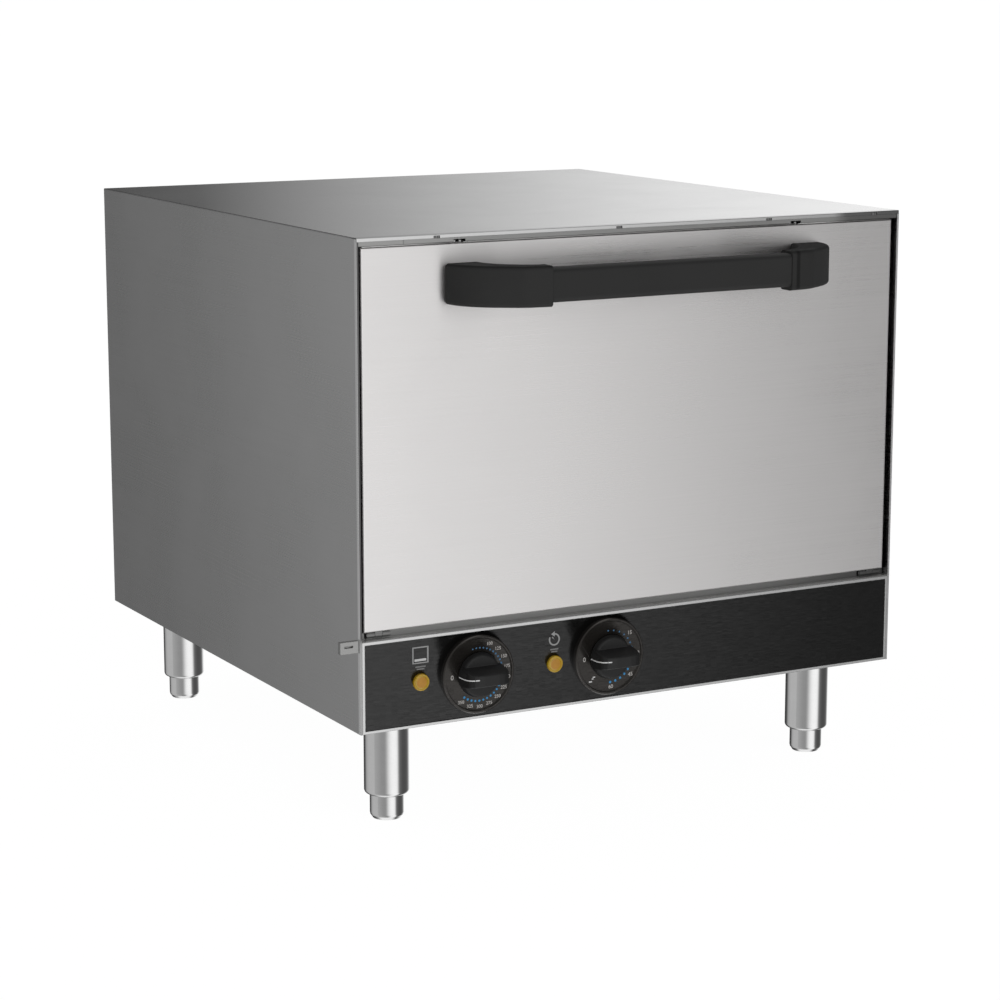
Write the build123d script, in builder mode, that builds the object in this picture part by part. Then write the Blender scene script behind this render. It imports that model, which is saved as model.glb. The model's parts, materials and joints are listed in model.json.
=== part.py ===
from build123d import *
import os

# Electric countertop oven with two ceramic decks, on four adjustable legs.
# +Z is up and the door faces -Y.  The origin is the middle of the whole
# object's box, on the surface that it stands on.
#
# Most dimensions are given from three reference planes of the cabinet:
#   x  from the cabinet's middle, to the right
#   d  depth behind the cabinet's front plane
#   z  height above the cabinet's underside

# ---------------------------------------------------------------- dimensions
W = 595.0            # cabinet width
D = 627.0            # cabinet depth
H = 457.0            # cabinet height
LEG = 102.0          # leg height, floor to cabinet
T = 1.0              # sheet thickness
LIP = 3.5            # front lip of the top panel
HEM = 8.0            # folded hem on the side panels' front edges
RET = 16.0           # rear return of the side panels
TAB_REACH = 19.0     # keeper tab beyond the left panel

HANDLE_OUT = 60.0    # handle's front in front of the cabinet's front plane
GLAND_OUT = 16.0     # cable gland behind the back panel

DOOR_HW = 291.9      # half width of the door
DOOR_Z0, DOOR_Z1 = 94.7, 448.0
DOOR_D0 = 4.0        # recess of the door's face
DOOR_D1 = 33.6       # back of the skin's returns
HINGE_D, HINGE_Z = 7.5, 91.8
ROD_R = 2.0
KNUCKLE_R = 2.8
KNUCKLE_L = 8.0

DECK_TOP = 88.0      # top of the chassis deck, over the electrical bay
FRAME_D = 42.0       # front of the frame round the oven's mouth
CAV_HW = 250.0       # half width of the oven chamber
CAV_Z0, CAV_Z1 = 112.0, 414.0
CAV_D1 = 560.0       # back of the chamber

STONE_HW = 246.0
STONE_T = 12.0
STONE_D0, STONE_D1 = 50.0, 540.0
LOWER_STONE_Z = 146.0
UPPER_STONE_Z = 290.0

TUBE_R = 4.0         # heating element
RUN_PITCH = 55.0
ELEMENT_Z = (128.0, 272.0, 401.0)

DIAL_Z = 44.0
TEMP_X, TIMER_X = -177.0, -34.5
RING_R = 37.6
HUB_R = 21.0
LAMP_Z = 43.0
HEAT_LAMP_X, TIMER_LAMP_X = -235.6, -93.0
LAMP_R = 8.4

LEG_X = 241.5
LEG_D0, LEG_D1 = 61.0, 566.0
LEG_R = 21.75
LEG_TUBE_Z = -78.0
FOOT_R = 16.35
SCREW_R = 8.0

HW = W / 2
XC = TAB_REACH / 2                                # cabinet's middle in the frame
YF = -(D + GLAND_OUT - HANDLE_OUT) / 2            # cabinet's front plane
ZB = LEG                                          # cabinet's underside

os.makedirs("parts", exist_ok=True)


def level(z):
    """Horizontal plane at height z: local x is x, local y is depth."""
    return Plane(origin=(XC, YF, ZB + z), x_dir=(1, 0, 0), z_dir=(0, 0, 1))


def facing(d):
    """Plane facing the front at depth d: local x is x, local y is height."""
    return Plane(origin=(XC, YF + d, ZB), x_dir=(1, 0, 0), z_dir=(0, -1, 0))


def section(x):
    """Plane across the width at x: local x is depth, local y is height."""
    return Plane(origin=(XC + x, YF, ZB), x_dir=(0, 1, 0), z_dir=(1, 0, 0))


def turned_about_y(x, z):
    """Plane for revolving about the depth axis through x, z: local x is radius, local y is depth."""
    return Plane(origin=(XC + x, YF, ZB + z), x_dir=(1, 0, 0), z_dir=(0, 0, -1))


def block(x0, x1, d0, d1, z0, z1, mode=Mode.ADD):
    """Rectangular solid between two corners."""
    with Locations((XC + (x0 + x1) / 2, YF + (d0 + d1) / 2, ZB + (z0 + z1) / 2)):
        Box(x1 - x0, d1 - d0, z1 - z0, mode=mode)


def bar_x(x0, x1, d, z, r, mode=Mode.ADD):
    """Round bar across the width."""
    with Locations(Location((XC + (x0 + x1) / 2, YF + d, ZB + z), (0, 90, 0))):
        Cylinder(r, x1 - x0, mode=mode)


def bar_y(x, z, d0, d1, r, mode=Mode.ADD):
    """Round bar along the depth."""
    with Locations(Location((XC + x, YF + (d0 + d1) / 2, ZB + z), (90, 0, 0))):
        Cylinder(r, d1 - d0, mode=mode)


def bar_z(x, d, z0, z1, r, mode=Mode.ADD):
    """Upright round bar."""
    with Locations((XC + x, YF + d, ZB + (z0 + z1) / 2)):
        Cylinder(r, z1 - z0, mode=mode)


# ------------------------------------------------------------- outer casing
with BuildPart() as left_side_panel:
    block(-HW, -HW + T, 0, D, 0, H - T)
    block(-HW + T, -HW + 2 * T, 0, HEM, 0, H - T)
    front_edge = left_side_panel.edges().filter_by(Axis.Z).group_by(Axis.X)[0].sort_by(Axis.Y)[0]
    fillet(front_edge, 0.5)
    block(-HW + T, -HW + 3 * T, -1, HEM + 1, H - LIP, H, mode=Mode.SUBTRACT)
    block(-HW - 1, -HW + 2 * T, -1, T, H - LIP, H, mode=Mode.SUBTRACT)
    block(-HW + T, -HW + RET, D - T, D, 0, H - T)
left_side_panel.part.label = "left_side_panel"
export_step(left_side_panel.part, "parts/left_side_panel.step")

with BuildPart() as right_side_panel:
    block(HW - T, HW, 0, D, 0, H - T)
    block(HW - 2 * T, HW - T, 0, HEM, 0, H - T)
    front_edge = right_side_panel.edges().filter_by(Axis.Z).group_by(Axis.X)[-1].sort_by(Axis.Y)[0]
    fillet(front_edge, 0.5)
    block(HW - 3 * T, HW - T, -1, HEM + 1, H - LIP, H, mode=Mode.SUBTRACT)
    block(HW - 2 * T, HW + 1, -1, T, H - LIP, H, mode=Mode.SUBTRACT)
    block(HW - RET, HW - T, D - T, D, 0, H - T)
right_side_panel.part.label = "right_side_panel"
export_step(right_side_panel.part, "parts/right_side_panel.step")

# The lid sheet folds down over the front as a narrow lip, and carries four
# small flat-headed fasteners there.
LIP_SCREWS = (-217.0, -25.0, 143.0, 267.0)
LIP_SCREW_Z = H - 2.3
with BuildPart() as top_panel:
    block(-HW, HW, 0, D, H - T, H)
    block(-HW, HW, 0, T, H - LIP, H - T)
    fillet(top_panel.edges().filter_by(Axis.X).group_by(Axis.Z)[-1].sort_by(Axis.Y)[0], 0.8)
    fillet(top_panel.edges().filter_by(Axis.Y).group_by(Axis.Z)[-1], 0.8)
    for sx in LIP_SCREWS:
        bar_y(sx, LIP_SCREW_Z, -0.1, T + 0.1, 0.9, mode=Mode.SUBTRACT)
top_panel.part.label = "top_panel"
export_step(top_panel.part, "parts/top_panel.step")

with BuildPart() as top_lip_screws:
    for sx in LIP_SCREWS:
        block(sx - 2.6, sx + 2.6, -0.4, 0.0, LIP_SCREW_Z - 1.4, LIP_SCREW_Z + 1.4)
        bar_y(sx, LIP_SCREW_Z, 0.0, 3.0, 0.9)
top_lip_screws.part.label = "top_lip_screws"
export_step(top_lip_screws.part, "parts/top_lip_screws.step")

GLAND_X, GLAND_Z = 205.0, 44.0
BACK_SCREWS = [(sx, sz) for sx in (-HW + 9, HW - 9) for sz in (25, 130, 240, 350, 435)]
with BuildPart() as back_panel:
    block(-HW + 2 * T, HW - 2 * T, D - 2 * T, D - T, T, H - 2 * T)
    with BuildSketch(facing(D)):
        with Locations((0, 330), (0, 45)):
            with GridLocations(24, 0, 17, 1):
                SlotCenterToCenter(40, 3.2, rotation=90)
    extrude(amount=5, both=True, mode=Mode.SUBTRACT)
    bar_y(GLAND_X, GLAND_Z, D - 5, D + 5, 10.0, mode=Mode.SUBTRACT)
    for sx, sz in BACK_SCREWS:
        bar_y(sx, sz, D - 5, D + 5, 1.75, mode=Mode.SUBTRACT)
back_panel.part.label = "back_panel"
export_step(back_panel.part, "parts/back_panel.step")

# The side panels' rear returns take the screws, so both get the same holes.
for panel, side in ((left_side_panel, -1), (right_side_panel, 1)):
    with panel:
        for sx, sz in BACK_SCREWS:
            if sx * side > 0:
                bar_y(sx, sz, D - 5, D + 5, 1.75, mode=Mode.SUBTRACT)
    panel.part.label = "left_side_panel" if side < 0 else "right_side_panel"
export_step(left_side_panel.part, "parts/left_side_panel.step")
export_step(right_side_panel.part, "parts/right_side_panel.step")

with BuildPart() as back_panel_screws:
    for sx, sz in BACK_SCREWS:
        bar_y(sx, sz, D - 8, D, 1.75)
        bar_y(sx, sz, D, D + 1.8, 3.6)
    fillet(back_panel_screws.edges().group_by(Axis.Y)[-1], 1.2)
back_panel_screws.part.label = "back_panel_screws"
export_step(back_panel_screws.part, "parts/back_panel_screws.step")

with BuildPart() as base_pan:
    block(-HW + 2 * T, HW - 2 * T, T, D - 2 * T, 0, T)
    block(-HW + T, -HW + 2 * T, HEM + 0.2, D - 2 * T, 0, 20)
    block(HW - 2 * T, HW - T, HEM + 0.2, D - 2 * T, 0, 20)
    for lx in (-LEG_X, LEG_X):
        for ld in (LEG_D0, LEG_D1):
            bar_z(lx, ld, -1, T + 1, 5.0, mode=Mode.SUBTRACT)
    with BuildSketch(level(0)):
        with Locations((0, 313)):
            with GridLocations(20, 60, 13, 3):
                SlotCenterToCenter(36, 3.2, rotation=90)
    extrude(amount=5, both=True, mode=Mode.SUBTRACT)
base_pan.part.label = "base_pan"
export_step(base_pan.part, "parts/base_pan.step")

# Divider between the hot section above and the electrical bay below.
with BuildPart() as chassis_deck:
    block(-HW + T, HW - T, HEM + 0.2, D - 2 * T, DECK_TOP - T, DECK_TOP)
    block(-HW + 2 * T, HW - 2 * T, T, HEM + 0.2, DECK_TOP - T, DECK_TOP)
chassis_deck.part.label = "chassis_deck"
export_step(chassis_deck.part, "parts/chassis_deck.step")

# Four strips round the oven's mouth, which the door's gasket bears on.  The
# upper three fold forward under the lid and down again behind its lip, as a
# stiff header over the door, with a notch over each of the door's strikes.
SEAM = 0.2           # open seam between butted strips
HEADER_D = 1.2
HEADER_Z = 449.4
STRIKE_X = (-193.0, 175.0)
with BuildPart() as front_frame:
    for x0, x1, z0 in ((-HW + T, -CAV_HW, DECK_TOP), (CAV_HW, HW - T, DECK_TOP), (-CAV_HW + SEAM, CAV_HW - SEAM, CAV_Z1)):
        block(x0, x1, FRAME_D, FRAME_D + T, z0, H - T)
        h0, h1 = max(x0, -HW + 2.2 * T), min(x1, HW - 2.2 * T)
        block(h0, h1, HEADER_D, FRAME_D, H - 2 * T, H - T)
        block(h0, h1, HEADER_D, HEADER_D + T, HEADER_Z, H - T)
    block(-CAV_HW + SEAM, CAV_HW - SEAM, FRAME_D, FRAME_D + T, DECK_TOP, CAV_Z0)
    for sx in STRIKE_X:
        block(sx - 6.0, sx + 6.0, HEADER_D - 1, HEADER_D + 2 * T, HEADER_Z - 1, HEADER_Z + 2.2, mode=Mode.SUBTRACT)
    for sx in LIP_SCREWS:
        bar_y(sx, LIP_SCREW_Z, HEADER_D - 1, HEADER_D + 2 * T, 1.1, mode=Mode.SUBTRACT)
front_frame.part.label = "front_frame"
export_step(front_frame.part, "parts/front_frame.step")

# ------------------------------------------------------------ control panel
FASCIA_HW = 292.8
FASCIA_Z0, FASCIA_Z1 = 2.7, 84.2
with BuildPart() as control_bezel:
    block(-HW + 2 * T, HW - 2 * T, 0, T, 0, DECK_TOP - 0.8)
    fillet(control_bezel.edges().group_by(Axis.Y)[0].filter_by(Axis.X), 0.8)
    block(-FASCIA_HW, FASCIA_HW, -1, T + 1, FASCIA_Z0, FASCIA_Z1, mode=Mode.SUBTRACT)
control_bezel.part.label = "control_bezel"
export_step(control_bezel.part, "parts/control_bezel.step")

with BuildPart() as control_fascia:
    block(-HW + 3.2, HW - 3.2, T, 2.8, 1.6, DECK_TOP - T - 0.2)
    block(-FASCIA_HW + 0.1, FASCIA_HW - 0.1, 0.5, T, FASCIA_Z0 + 0.1, FASCIA_Z1 - 0.1)
    for kx in (TEMP_X, TIMER_X):
        bar_y(kx, DIAL_Z, -5, 5, 5.0, mode=Mode.SUBTRACT)
    for lx in (HEAT_LAMP_X, TIMER_LAMP_X):
        bar_y(lx, LAMP_Z, -5, 5, 7.0, mode=Mode.SUBTRACT)
control_fascia.part.label = "control_fascia"
export_step(control_fascia.part, "parts/control_fascia.step")

with BuildPart() as control_mounting_plate:
    block(-HW + 3.2, HW - 3.2, 2.8, 4.0, T, DECK_TOP - T)
    block(-HW + 3.2, HW - 3.2, 4.0, 16.0, T, 2 * T)
    for kx in (TEMP_X, TIMER_X):
        bar_y(kx, DIAL_Z, -5, 5, 5.0, mode=Mode.SUBTRACT)
    for lx in (HEAT_LAMP_X, TIMER_LAMP_X):
        bar_y(lx, LAMP_Z, -5, 5, 7.0, mode=Mode.SUBTRACT)
control_mounting_plate.part.label = "control_mounting_plate"
export_step(control_mounting_plate.part, "parts/control_mounting_plate.step")


with BuildPart() as temperature_dial:
    with BuildSketch(turned_about_y(TEMP_X, DIAL_Z)) as dial_section:
        with BuildLine():
            Polyline((9.0, -0.5), (RING_R, -0.5), (RING_R, 4.2), (RING_R - 1.0, 5.2),
                     (RING_R - 2.4, 5.2), (RING_R - 3.2, 4.0), (9.0, 4.0), (9.0, -0.5))
        make_face()
    revolve(axis=Axis((XC + TEMP_X, YF, ZB + DIAL_Z), (0, 1, 0)))
temperature_dial.part.label = "temperature_dial"
export_step(temperature_dial.part, "parts/temperature_dial.step")

with BuildPart() as timer_dial:
    with BuildSketch(turned_about_y(TIMER_X, DIAL_Z)) as dial_section:
        with BuildLine():
            Polyline((9.0, -0.5), (RING_R, -0.5), (RING_R, 4.2), (RING_R - 1.0, 5.2),
                     (RING_R - 2.4, 5.2), (RING_R - 3.2, 4.0), (9.0, 4.0), (9.0, -0.5))
        make_face()
    revolve(axis=Axis((XC + TIMER_X, YF, ZB + DIAL_Z), (0, 1, 0)))
timer_dial.part.label = "timer_dial"
export_step(timer_dial.part, "parts/timer_dial.step")

# Knobs: a low round hub with a wedge-shaped grip bar across it, lying along x
# at rest, and a blind bore on its back for the control's shaft.
KNOB_BACK, HUB_FRONT, GRIP_FRONT = -4.4, -11.2, -31.0
GRIP_HL, GRIP_FOOT, GRIP_CREST = 21.4, 9.6, 5.4     # half length, half thickness at the hub and in front
GRIP_PLAN = [(GRIP_HL, -9.0), (GRIP_HL, -20.0), (20.9, -24.0), (19.6, -27.2), (17.2, -29.4), (13.6, -30.6), (9.0, GRIP_FRONT)]
with BuildPart() as temperature_knob:
    with BuildSketch(level(DIAL_Z - GRIP_FOOT)) as grip_plan:
        with BuildLine():
            Polyline(*[(TEMP_X - gx, gd) for gx, gd in GRIP_PLAN], *[(TEMP_X + gx, gd) for gx, gd in reversed(GRIP_PLAN)],
                     (TEMP_X - GRIP_HL, -9.0))
        make_face()
    extrude(amount=2 * GRIP_FOOT)
    with BuildSketch(section(TEMP_X)) as grip_section:
        with BuildLine():
            Polyline((-9.0, DIAL_Z - GRIP_FOOT), (GRIP_FRONT, DIAL_Z - GRIP_CREST), (GRIP_FRONT, DIAL_Z + GRIP_CREST),
                     (-9.0, DIAL_Z + GRIP_FOOT), (-9.0, DIAL_Z - GRIP_FOOT))
        make_face()
    extrude(amount=30.0, both=True, mode=Mode.INTERSECT)
    with BuildSketch(turned_about_y(TEMP_X, DIAL_Z)) as hub_section:
        with BuildLine():
            Polyline((0, -KNOB_BACK), (HUB_R + 0.6, -KNOB_BACK), (HUB_R + 0.6, 5.8),
                     (HUB_R, 6.6), (HUB_R - 0.8, 10.2), (HUB_R - 1.8, -HUB_FRONT), (0, -HUB_FRONT), (0, -KNOB_BACK))
        make_face()
    revolve(axis=Axis((XC + TEMP_X, YF, ZB + DIAL_Z), (0, 1, 0)))
    bar_y(TEMP_X, DIAL_Z, -14.0, -4.0, 3.0, mode=Mode.SUBTRACT)
temperature_knob.part.label = "temperature_knob"
export_step(temperature_knob.part, "parts/temperature_knob.step")

with BuildPart() as timer_knob:
    with BuildSketch(level(DIAL_Z - GRIP_FOOT)) as grip_plan:
        with BuildLine():
            Polyline(*[(TIMER_X - gx, gd) for gx, gd in GRIP_PLAN], *[(TIMER_X + gx, gd) for gx, gd in reversed(GRIP_PLAN)],
                     (TIMER_X - GRIP_HL, -9.0))
        make_face()
    extrude(amount=2 * GRIP_FOOT)
    with BuildSketch(section(TIMER_X)) as grip_section:
        with BuildLine():
            Polyline((-9.0, DIAL_Z - GRIP_FOOT), (GRIP_FRONT, DIAL_Z - GRIP_CREST), (GRIP_FRONT, DIAL_Z + GRIP_CREST),
                     (-9.0, DIAL_Z + GRIP_FOOT), (-9.0, DIAL_Z - GRIP_FOOT))
        make_face()
    extrude(amount=30.0, both=True, mode=Mode.INTERSECT)
    with BuildSketch(turned_about_y(TIMER_X, DIAL_Z)) as hub_section:
        with BuildLine():
            Polyline((0, -KNOB_BACK), (HUB_R + 0.6, -KNOB_BACK), (HUB_R + 0.6, 5.8),
                     (HUB_R, 6.6), (HUB_R - 0.8, 10.2), (HUB_R - 1.8, -HUB_FRONT), (0, -HUB_FRONT), (0, -KNOB_BACK))
        make_face()
    revolve(axis=Axis((XC + TIMER_X, YF, ZB + DIAL_Z), (0, 1, 0)))
    bar_y(TIMER_X, DIAL_Z, -14.0, -4.0, 3.0, mode=Mode.SUBTRACT)
timer_knob.part.label = "timer_knob"
export_step(timer_knob.part, "parts/timer_knob.step")

# Control shafts, which turn with the knobs in the bushings of their bodies.
SHAFT_END = 20.0
with BuildPart() as thermostat_shaft:
    bar_y(TEMP_X, DIAL_Z, -14.0, SHAFT_END, 3.0)
thermostat_shaft.part.label = "thermostat_shaft"
export_step(thermostat_shaft.part, "parts/thermostat_shaft.step")

with BuildPart() as timer_shaft:
    bar_y(TIMER_X, DIAL_Z, -14.0, SHAFT_END, 3.0)
timer_shaft.part.label = "timer_shaft"
export_step(timer_shaft.part, "parts/timer_shaft.step")

with BuildPart() as thermostat_body:
    block(TEMP_X - 24, TEMP_X + 24, 10, 46, DIAL_Z - 24, DIAL_Z + 24)
    fillet(thermostat_body.edges().filter_by(Axis.Y), 3)
    bar_y(TEMP_X, DIAL_Z, 4.0, 10, 7.5)
    for tx in (-14, 0, 14):
        block(TEMP_X + tx - 3.2, TEMP_X + tx + 3.2, 46, 54, DIAL_Z + 12, DIAL_Z + 12.8)
    bar_y(TEMP_X, DIAL_Z, 3.0, SHAFT_END + 1, 3.05, mode=Mode.SUBTRACT)
thermostat_body.part.label = "thermostat_body"
export_step(thermostat_body.part, "parts/thermostat_body.step")

with BuildPart() as timer_body:
    bar_y(TIMER_X, DIAL_Z, 8, 50, 27.0)
    bar_y(TIMER_X, DIAL_Z, 4.0, 8, 7.5)
    bar_y(TIMER_X - 20, DIAL_Z + 4, 50, 53, 6.5)
    for tx in (2, 14):
        block(TIMER_X + tx - 3.2, TIMER_X + tx + 3.2, 50, 58, DIAL_Z - 10, DIAL_Z - 9.2)
    bar_y(TIMER_X, DIAL_Z, 3.0, SHAFT_END + 1, 3.05, mode=Mode.SUBTRACT)
timer_body.part.label = "timer_body"
export_step(timer_body.part, "parts/timer_body.step")

with BuildPart() as indicator_lamp_lenses:
    for lx in (HEAT_LAMP_X, TIMER_LAMP_X):
        bar_y(lx, LAMP_Z, -2.6, 0.5, LAMP_R)
        bar_y(lx, LAMP_Z, 0.5, 4.0, 7.0)
    fillet(indicator_lamp_lenses.edges().group_by(Axis.Y)[0], 1.8)
indicator_lamp_lenses.part.label = "indicator_lamp_lenses"
export_step(indicator_lamp_lenses.part, "parts/indicator_lamp_lenses.step")

with BuildPart() as indicator_lamp_bodies:
    for lx in (HEAT_LAMP_X, TIMER_LAMP_X):
        bar_y(lx, LAMP_Z, 4.0, 6.0, 9.0)
        bar_y(lx, LAMP_Z, 6.0, 30.0, 6.6)
        block(lx - 1.6, lx + 1.6, 30, 38, LAMP_Z + 2.4, LAMP_Z + 3.0)
        block(lx - 1.6, lx + 1.6, 30, 38, LAMP_Z - 3.0, LAMP_Z - 2.4)
indicator_lamp_bodies.part.label = "indicator_lamp_bodies"
export_step(indicator_lamp_bodies.part, "parts/indicator_lamp_bodies.step")

# ------------------------------------------------------------ electrical bay
with BuildPart() as terminal_block:
    block(150, 222, 520, 546, T, 8)
    for i in range(5):
        block(152 + 14 * i, 163 + 14 * i, 522, 544, 8, 24)
        bar_z(157.5 + 14 * i, 528, 10, 30, 2.2, mode=Mode.SUBTRACT)
        bar_z(157.5 + 14 * i, 538, 10, 30, 2.2, mode=Mode.SUBTRACT)
terminal_block.part.label = "terminal_block"
export_step(terminal_block.part, "parts/terminal_block.step")

with BuildPart() as high_limit_thermostat:
    block(60, 96, 470, 506, T, 5)
    bar_z(78, 488, 5, 28, 14)
    for tx in (-9, 9):
        block(78 + tx - 3.2, 78 + tx + 3.2, 487.6, 488.4, 28, 36)
high_limit_thermostat.part.label = "high_limit_thermostat"
export_step(high_limit_thermostat.part, "parts/high_limit_thermostat.step")

# Wires along the bay's floor, from the controls to the terminal block.
WIRE_R = 1.6
with BuildPart() as internal_wiring:
    for wx, wd, wz, tx in ((TEMP_X - 14, 56.0, 14.0, 157.5), (TEMP_X + 14, 56.0, 18.0, 171.5),
                           (TIMER_X + 2, 60.0, 22.0, 185.5)):
        with BuildLine(level(wz)):
            FilletPolyline((wx, wd), (wx, 300.0 + 4 * wz), (tx, 380.0 + 4 * wz), (tx, 519.0), radius=30.0)
        with BuildSketch(facing(wd)):
            with Locations((wx, wz)):
                Circle(WIRE_R)
        sweep()
internal_wiring.part.label = "internal_wiring"
export_step(internal_wiring.part, "parts/internal_wiring.step")

# Cable gland in the back panel: hexagon outside, domed cap, locknut inside.
with BuildPart() as cable_gland:
    bar_y(GLAND_X, GLAND_Z, D - 10, D, 10.0)
    with BuildSketch(facing(D + 6)):
        with Locations((GLAND_X, GLAND_Z)):
            RegularPolygon(13.5, 6)
    extrude(amount=6 + T)
    with BuildSketch(facing(D - 2 * T)):
        with Locations((GLAND_X, GLAND_Z)):
            RegularPolygon(13.5, 6)
    extrude(amount=4.6)
    bar_y(GLAND_X, GLAND_Z, D + 6, D + GLAND_OUT, 11.0)
    fillet(cable_gland.edges().group_by(Axis.Y)[-1], 3.0)
    bar_y(GLAND_X, GLAND_Z, D - 20, D + 30, 5.0, mode=Mode.SUBTRACT)
cable_gland.part.label = "cable_gland"
export_step(cable_gland.part, "parts/cable_gland.step")

# ------------------------------------------------------------- oven chamber
with BuildPart() as chamber_side_walls:
    block(-CAV_HW - T, -CAV_HW, FRAME_D + T, CAV_D1 + T, CAV_Z0 - T, CAV_Z1 + T)
    block(CAV_HW, CAV_HW + T, FRAME_D + T, CAV_D1 + T, CAV_Z0 - T, CAV_Z1 + T)
chamber_side_walls.part.label = "chamber_side_walls"
export_step(chamber_side_walls.part, "parts/chamber_side_walls.step")

with BuildPart() as chamber_ceiling:
    block(-CAV_HW, CAV_HW, FRAME_D + T, CAV_D1, CAV_Z1, CAV_Z1 + T)
chamber_ceiling.part.label = "chamber_ceiling"
export_step(chamber_ceiling.part, "parts/chamber_ceiling.step")

with BuildPart() as chamber_floor:
    block(-CAV_HW, CAV_HW, FRAME_D + T, CAV_D1, CAV_Z0 - T, CAV_Z0)
chamber_floor.part.label = "chamber_floor"
export_step(chamber_floor.part, "parts/chamber_floor.step")

RUNS = 8
END_X = RUN_PITCH * (RUNS - 1) / 2
WALL_HOLE_R = 5.0
with BuildPart() as chamber_back_wall:
    block(-CAV_HW, CAV_HW, CAV_D1, CAV_D1 + T, CAV_Z0 - T, CAV_Z1 + T)
    for ez in ELEMENT_Z:
        for ex in (-END_X, END_X):
            bar_y(ex, ez, CAV_D1 - 5, CAV_D1 + 5, WALL_HOLE_R, mode=Mode.SUBTRACT)
chamber_back_wall.part.label = "chamber_back_wall"
export_step(chamber_back_wall.part, "parts/chamber_back_wall.step")

# Mineral-wool slabs between chamber and casing.
with BuildPart() as insulation_slabs:
    block(-HW + 4, -CAV_HW - T, FRAME_D + T, CAV_D1 + T, DECK_TOP, H - 4)
    block(CAV_HW + T, HW - 4, FRAME_D + T, CAV_D1 + T, DECK_TOP, H - 4)
    block(-CAV_HW - T, CAV_HW + T, FRAME_D + T, CAV_D1 + T, CAV_Z1 + T, H - 4)
    block(-CAV_HW - T, CAV_HW + T, FRAME_D + T, CAV_D1 + T, DECK_TOP, CAV_Z0 - T)
    block(-HW + 4, HW - 4, CAV_D1 + T, 600, DECK_TOP, H - 4)
    for ez in ELEMENT_Z:
        for ex in (-END_X, END_X):
            bar_y(ex, ez, CAV_D1, 605, WALL_HOLE_R, mode=Mode.SUBTRACT)
insulation_slabs.part.label = "insulation_slabs"
export_step(insulation_slabs.part, "parts/insulation_slabs.step")

with BuildPart() as lower_deck_stone:
    block(-STONE_HW, STONE_HW, STONE_D0, STONE_D1, LOWER_STONE_Z, LOWER_STONE_Z + STONE_T)
    chamfer(lower_deck_stone.edges().filter_by(Axis.Z), 6)
    chamfer(lower_deck_stone.edges().group_by(Axis.Z)[-1], 1)
lower_deck_stone.part.label = "lower_deck_stone"
export_step(lower_deck_stone.part, "parts/lower_deck_stone.step")

with BuildPart() as upper_deck_stone:
    block(-STONE_HW, STONE_HW, STONE_D0, STONE_D1, UPPER_STONE_Z, UPPER_STONE_Z + STONE_T)
    chamfer(upper_deck_stone.edges().filter_by(Axis.Z), 6)
    chamfer(upper_deck_stone.edges().group_by(Axis.Z)[-1], 1)
upper_deck_stone.part.label = "upper_deck_stone"
export_step(upper_deck_stone.part, "parts/upper_deck_stone.step")

# Angle rails on the chamber's walls, two a side, carrying the stones.
with BuildPart() as deck_rails:
    for rz in (LOWER_STONE_Z, UPPER_STONE_Z):
        for s in (-1, 1):
            x_wall, x_in = s * CAV_HW, s * (CAV_HW - 15)
            block(min(x_wall, x_in), max(x_wall, x_in), 50, 545, rz - 1.5, rz)
            x_leg = s * (CAV_HW - 1.5)
            block(min(x_wall, x_leg), max(x_wall, x_leg), 50, 545, rz - 14, rz - 1.5)
deck_rails.part.label = "deck_rails"
export_step(deck_rails.part, "parts/deck_rails.step")


# Tubular heating elements: one flat serpentine each, both ends out through
# the chamber's back wall.
FRONT_TURN, BACK_TURN = 95.0, 515.0
runs = []
for i in range(RUNS):
    rx = -END_X + RUN_PITCH * i
    ends = (BACK_TURN, FRONT_TURN) if i % 2 == 0 else (FRONT_TURN, BACK_TURN)
    runs += [(rx, ends[0]), (rx, ends[1])]
runs[0] = (-END_X, 612.0)
runs[-1] = (END_X, 612.0)

with BuildPart() as lower_heating_element:
    with BuildLine(level(ELEMENT_Z[0])):
        FilletPolyline(*runs, radius=25.0)
    with BuildSketch(facing(612.0)):
        with Locations((-END_X, ELEMENT_Z[0])):
            Circle(TUBE_R)
    sweep()
lower_heating_element.part.label = "lower_heating_element"
export_step(lower_heating_element.part, "parts/lower_heating_element.step")

with BuildPart() as middle_heating_element:
    with BuildLine(level(ELEMENT_Z[1])):
        FilletPolyline(*runs, radius=25.0)
    with BuildSketch(facing(612.0)):
        with Locations((-END_X, ELEMENT_Z[1])):
            Circle(TUBE_R)
    sweep()
middle_heating_element.part.label = "middle_heating_element"
export_step(middle_heating_element.part, "parts/middle_heating_element.step")

with BuildPart() as upper_heating_element:
    with BuildLine(level(ELEMENT_Z[2])):
        FilletPolyline(*runs, radius=25.0)
    with BuildSketch(facing(612.0)):
        with Locations((-END_X, ELEMENT_Z[2])):
            Circle(TUBE_R)
    sweep()
upper_heating_element.part.label = "upper_heating_element"
export_step(upper_heating_element.part, "parts/upper_heating_element.step")

# Flat cross bars that the elements lie on.
with BuildPart() as element_support_bars:
    for ez in ELEMENT_Z:
        for bd in (170.0, 440.0):
            block(-CAV_HW, CAV_HW, bd - 7, bd + 7, ez - TUBE_R - 2.0, ez - TUBE_R)
element_support_bars.part.label = "element_support_bars"
export_step(element_support_bars.part, "parts/element_support_bars.step")

# Capillary bulb in two clips on the left wall.
with BuildPart() as thermostat_bulb:
    bar_y(-CAV_HW + 8, 226, 250, 360, 3.2)
    for bd in (268, 342):
        block(-CAV_HW, -CAV_HW + 8, bd - 4, bd + 4, 225, 227)
thermostat_bulb.part.label = "thermostat_bulb"
export_step(thermostat_bulb.part, "parts/thermostat_bulb.step")

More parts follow.
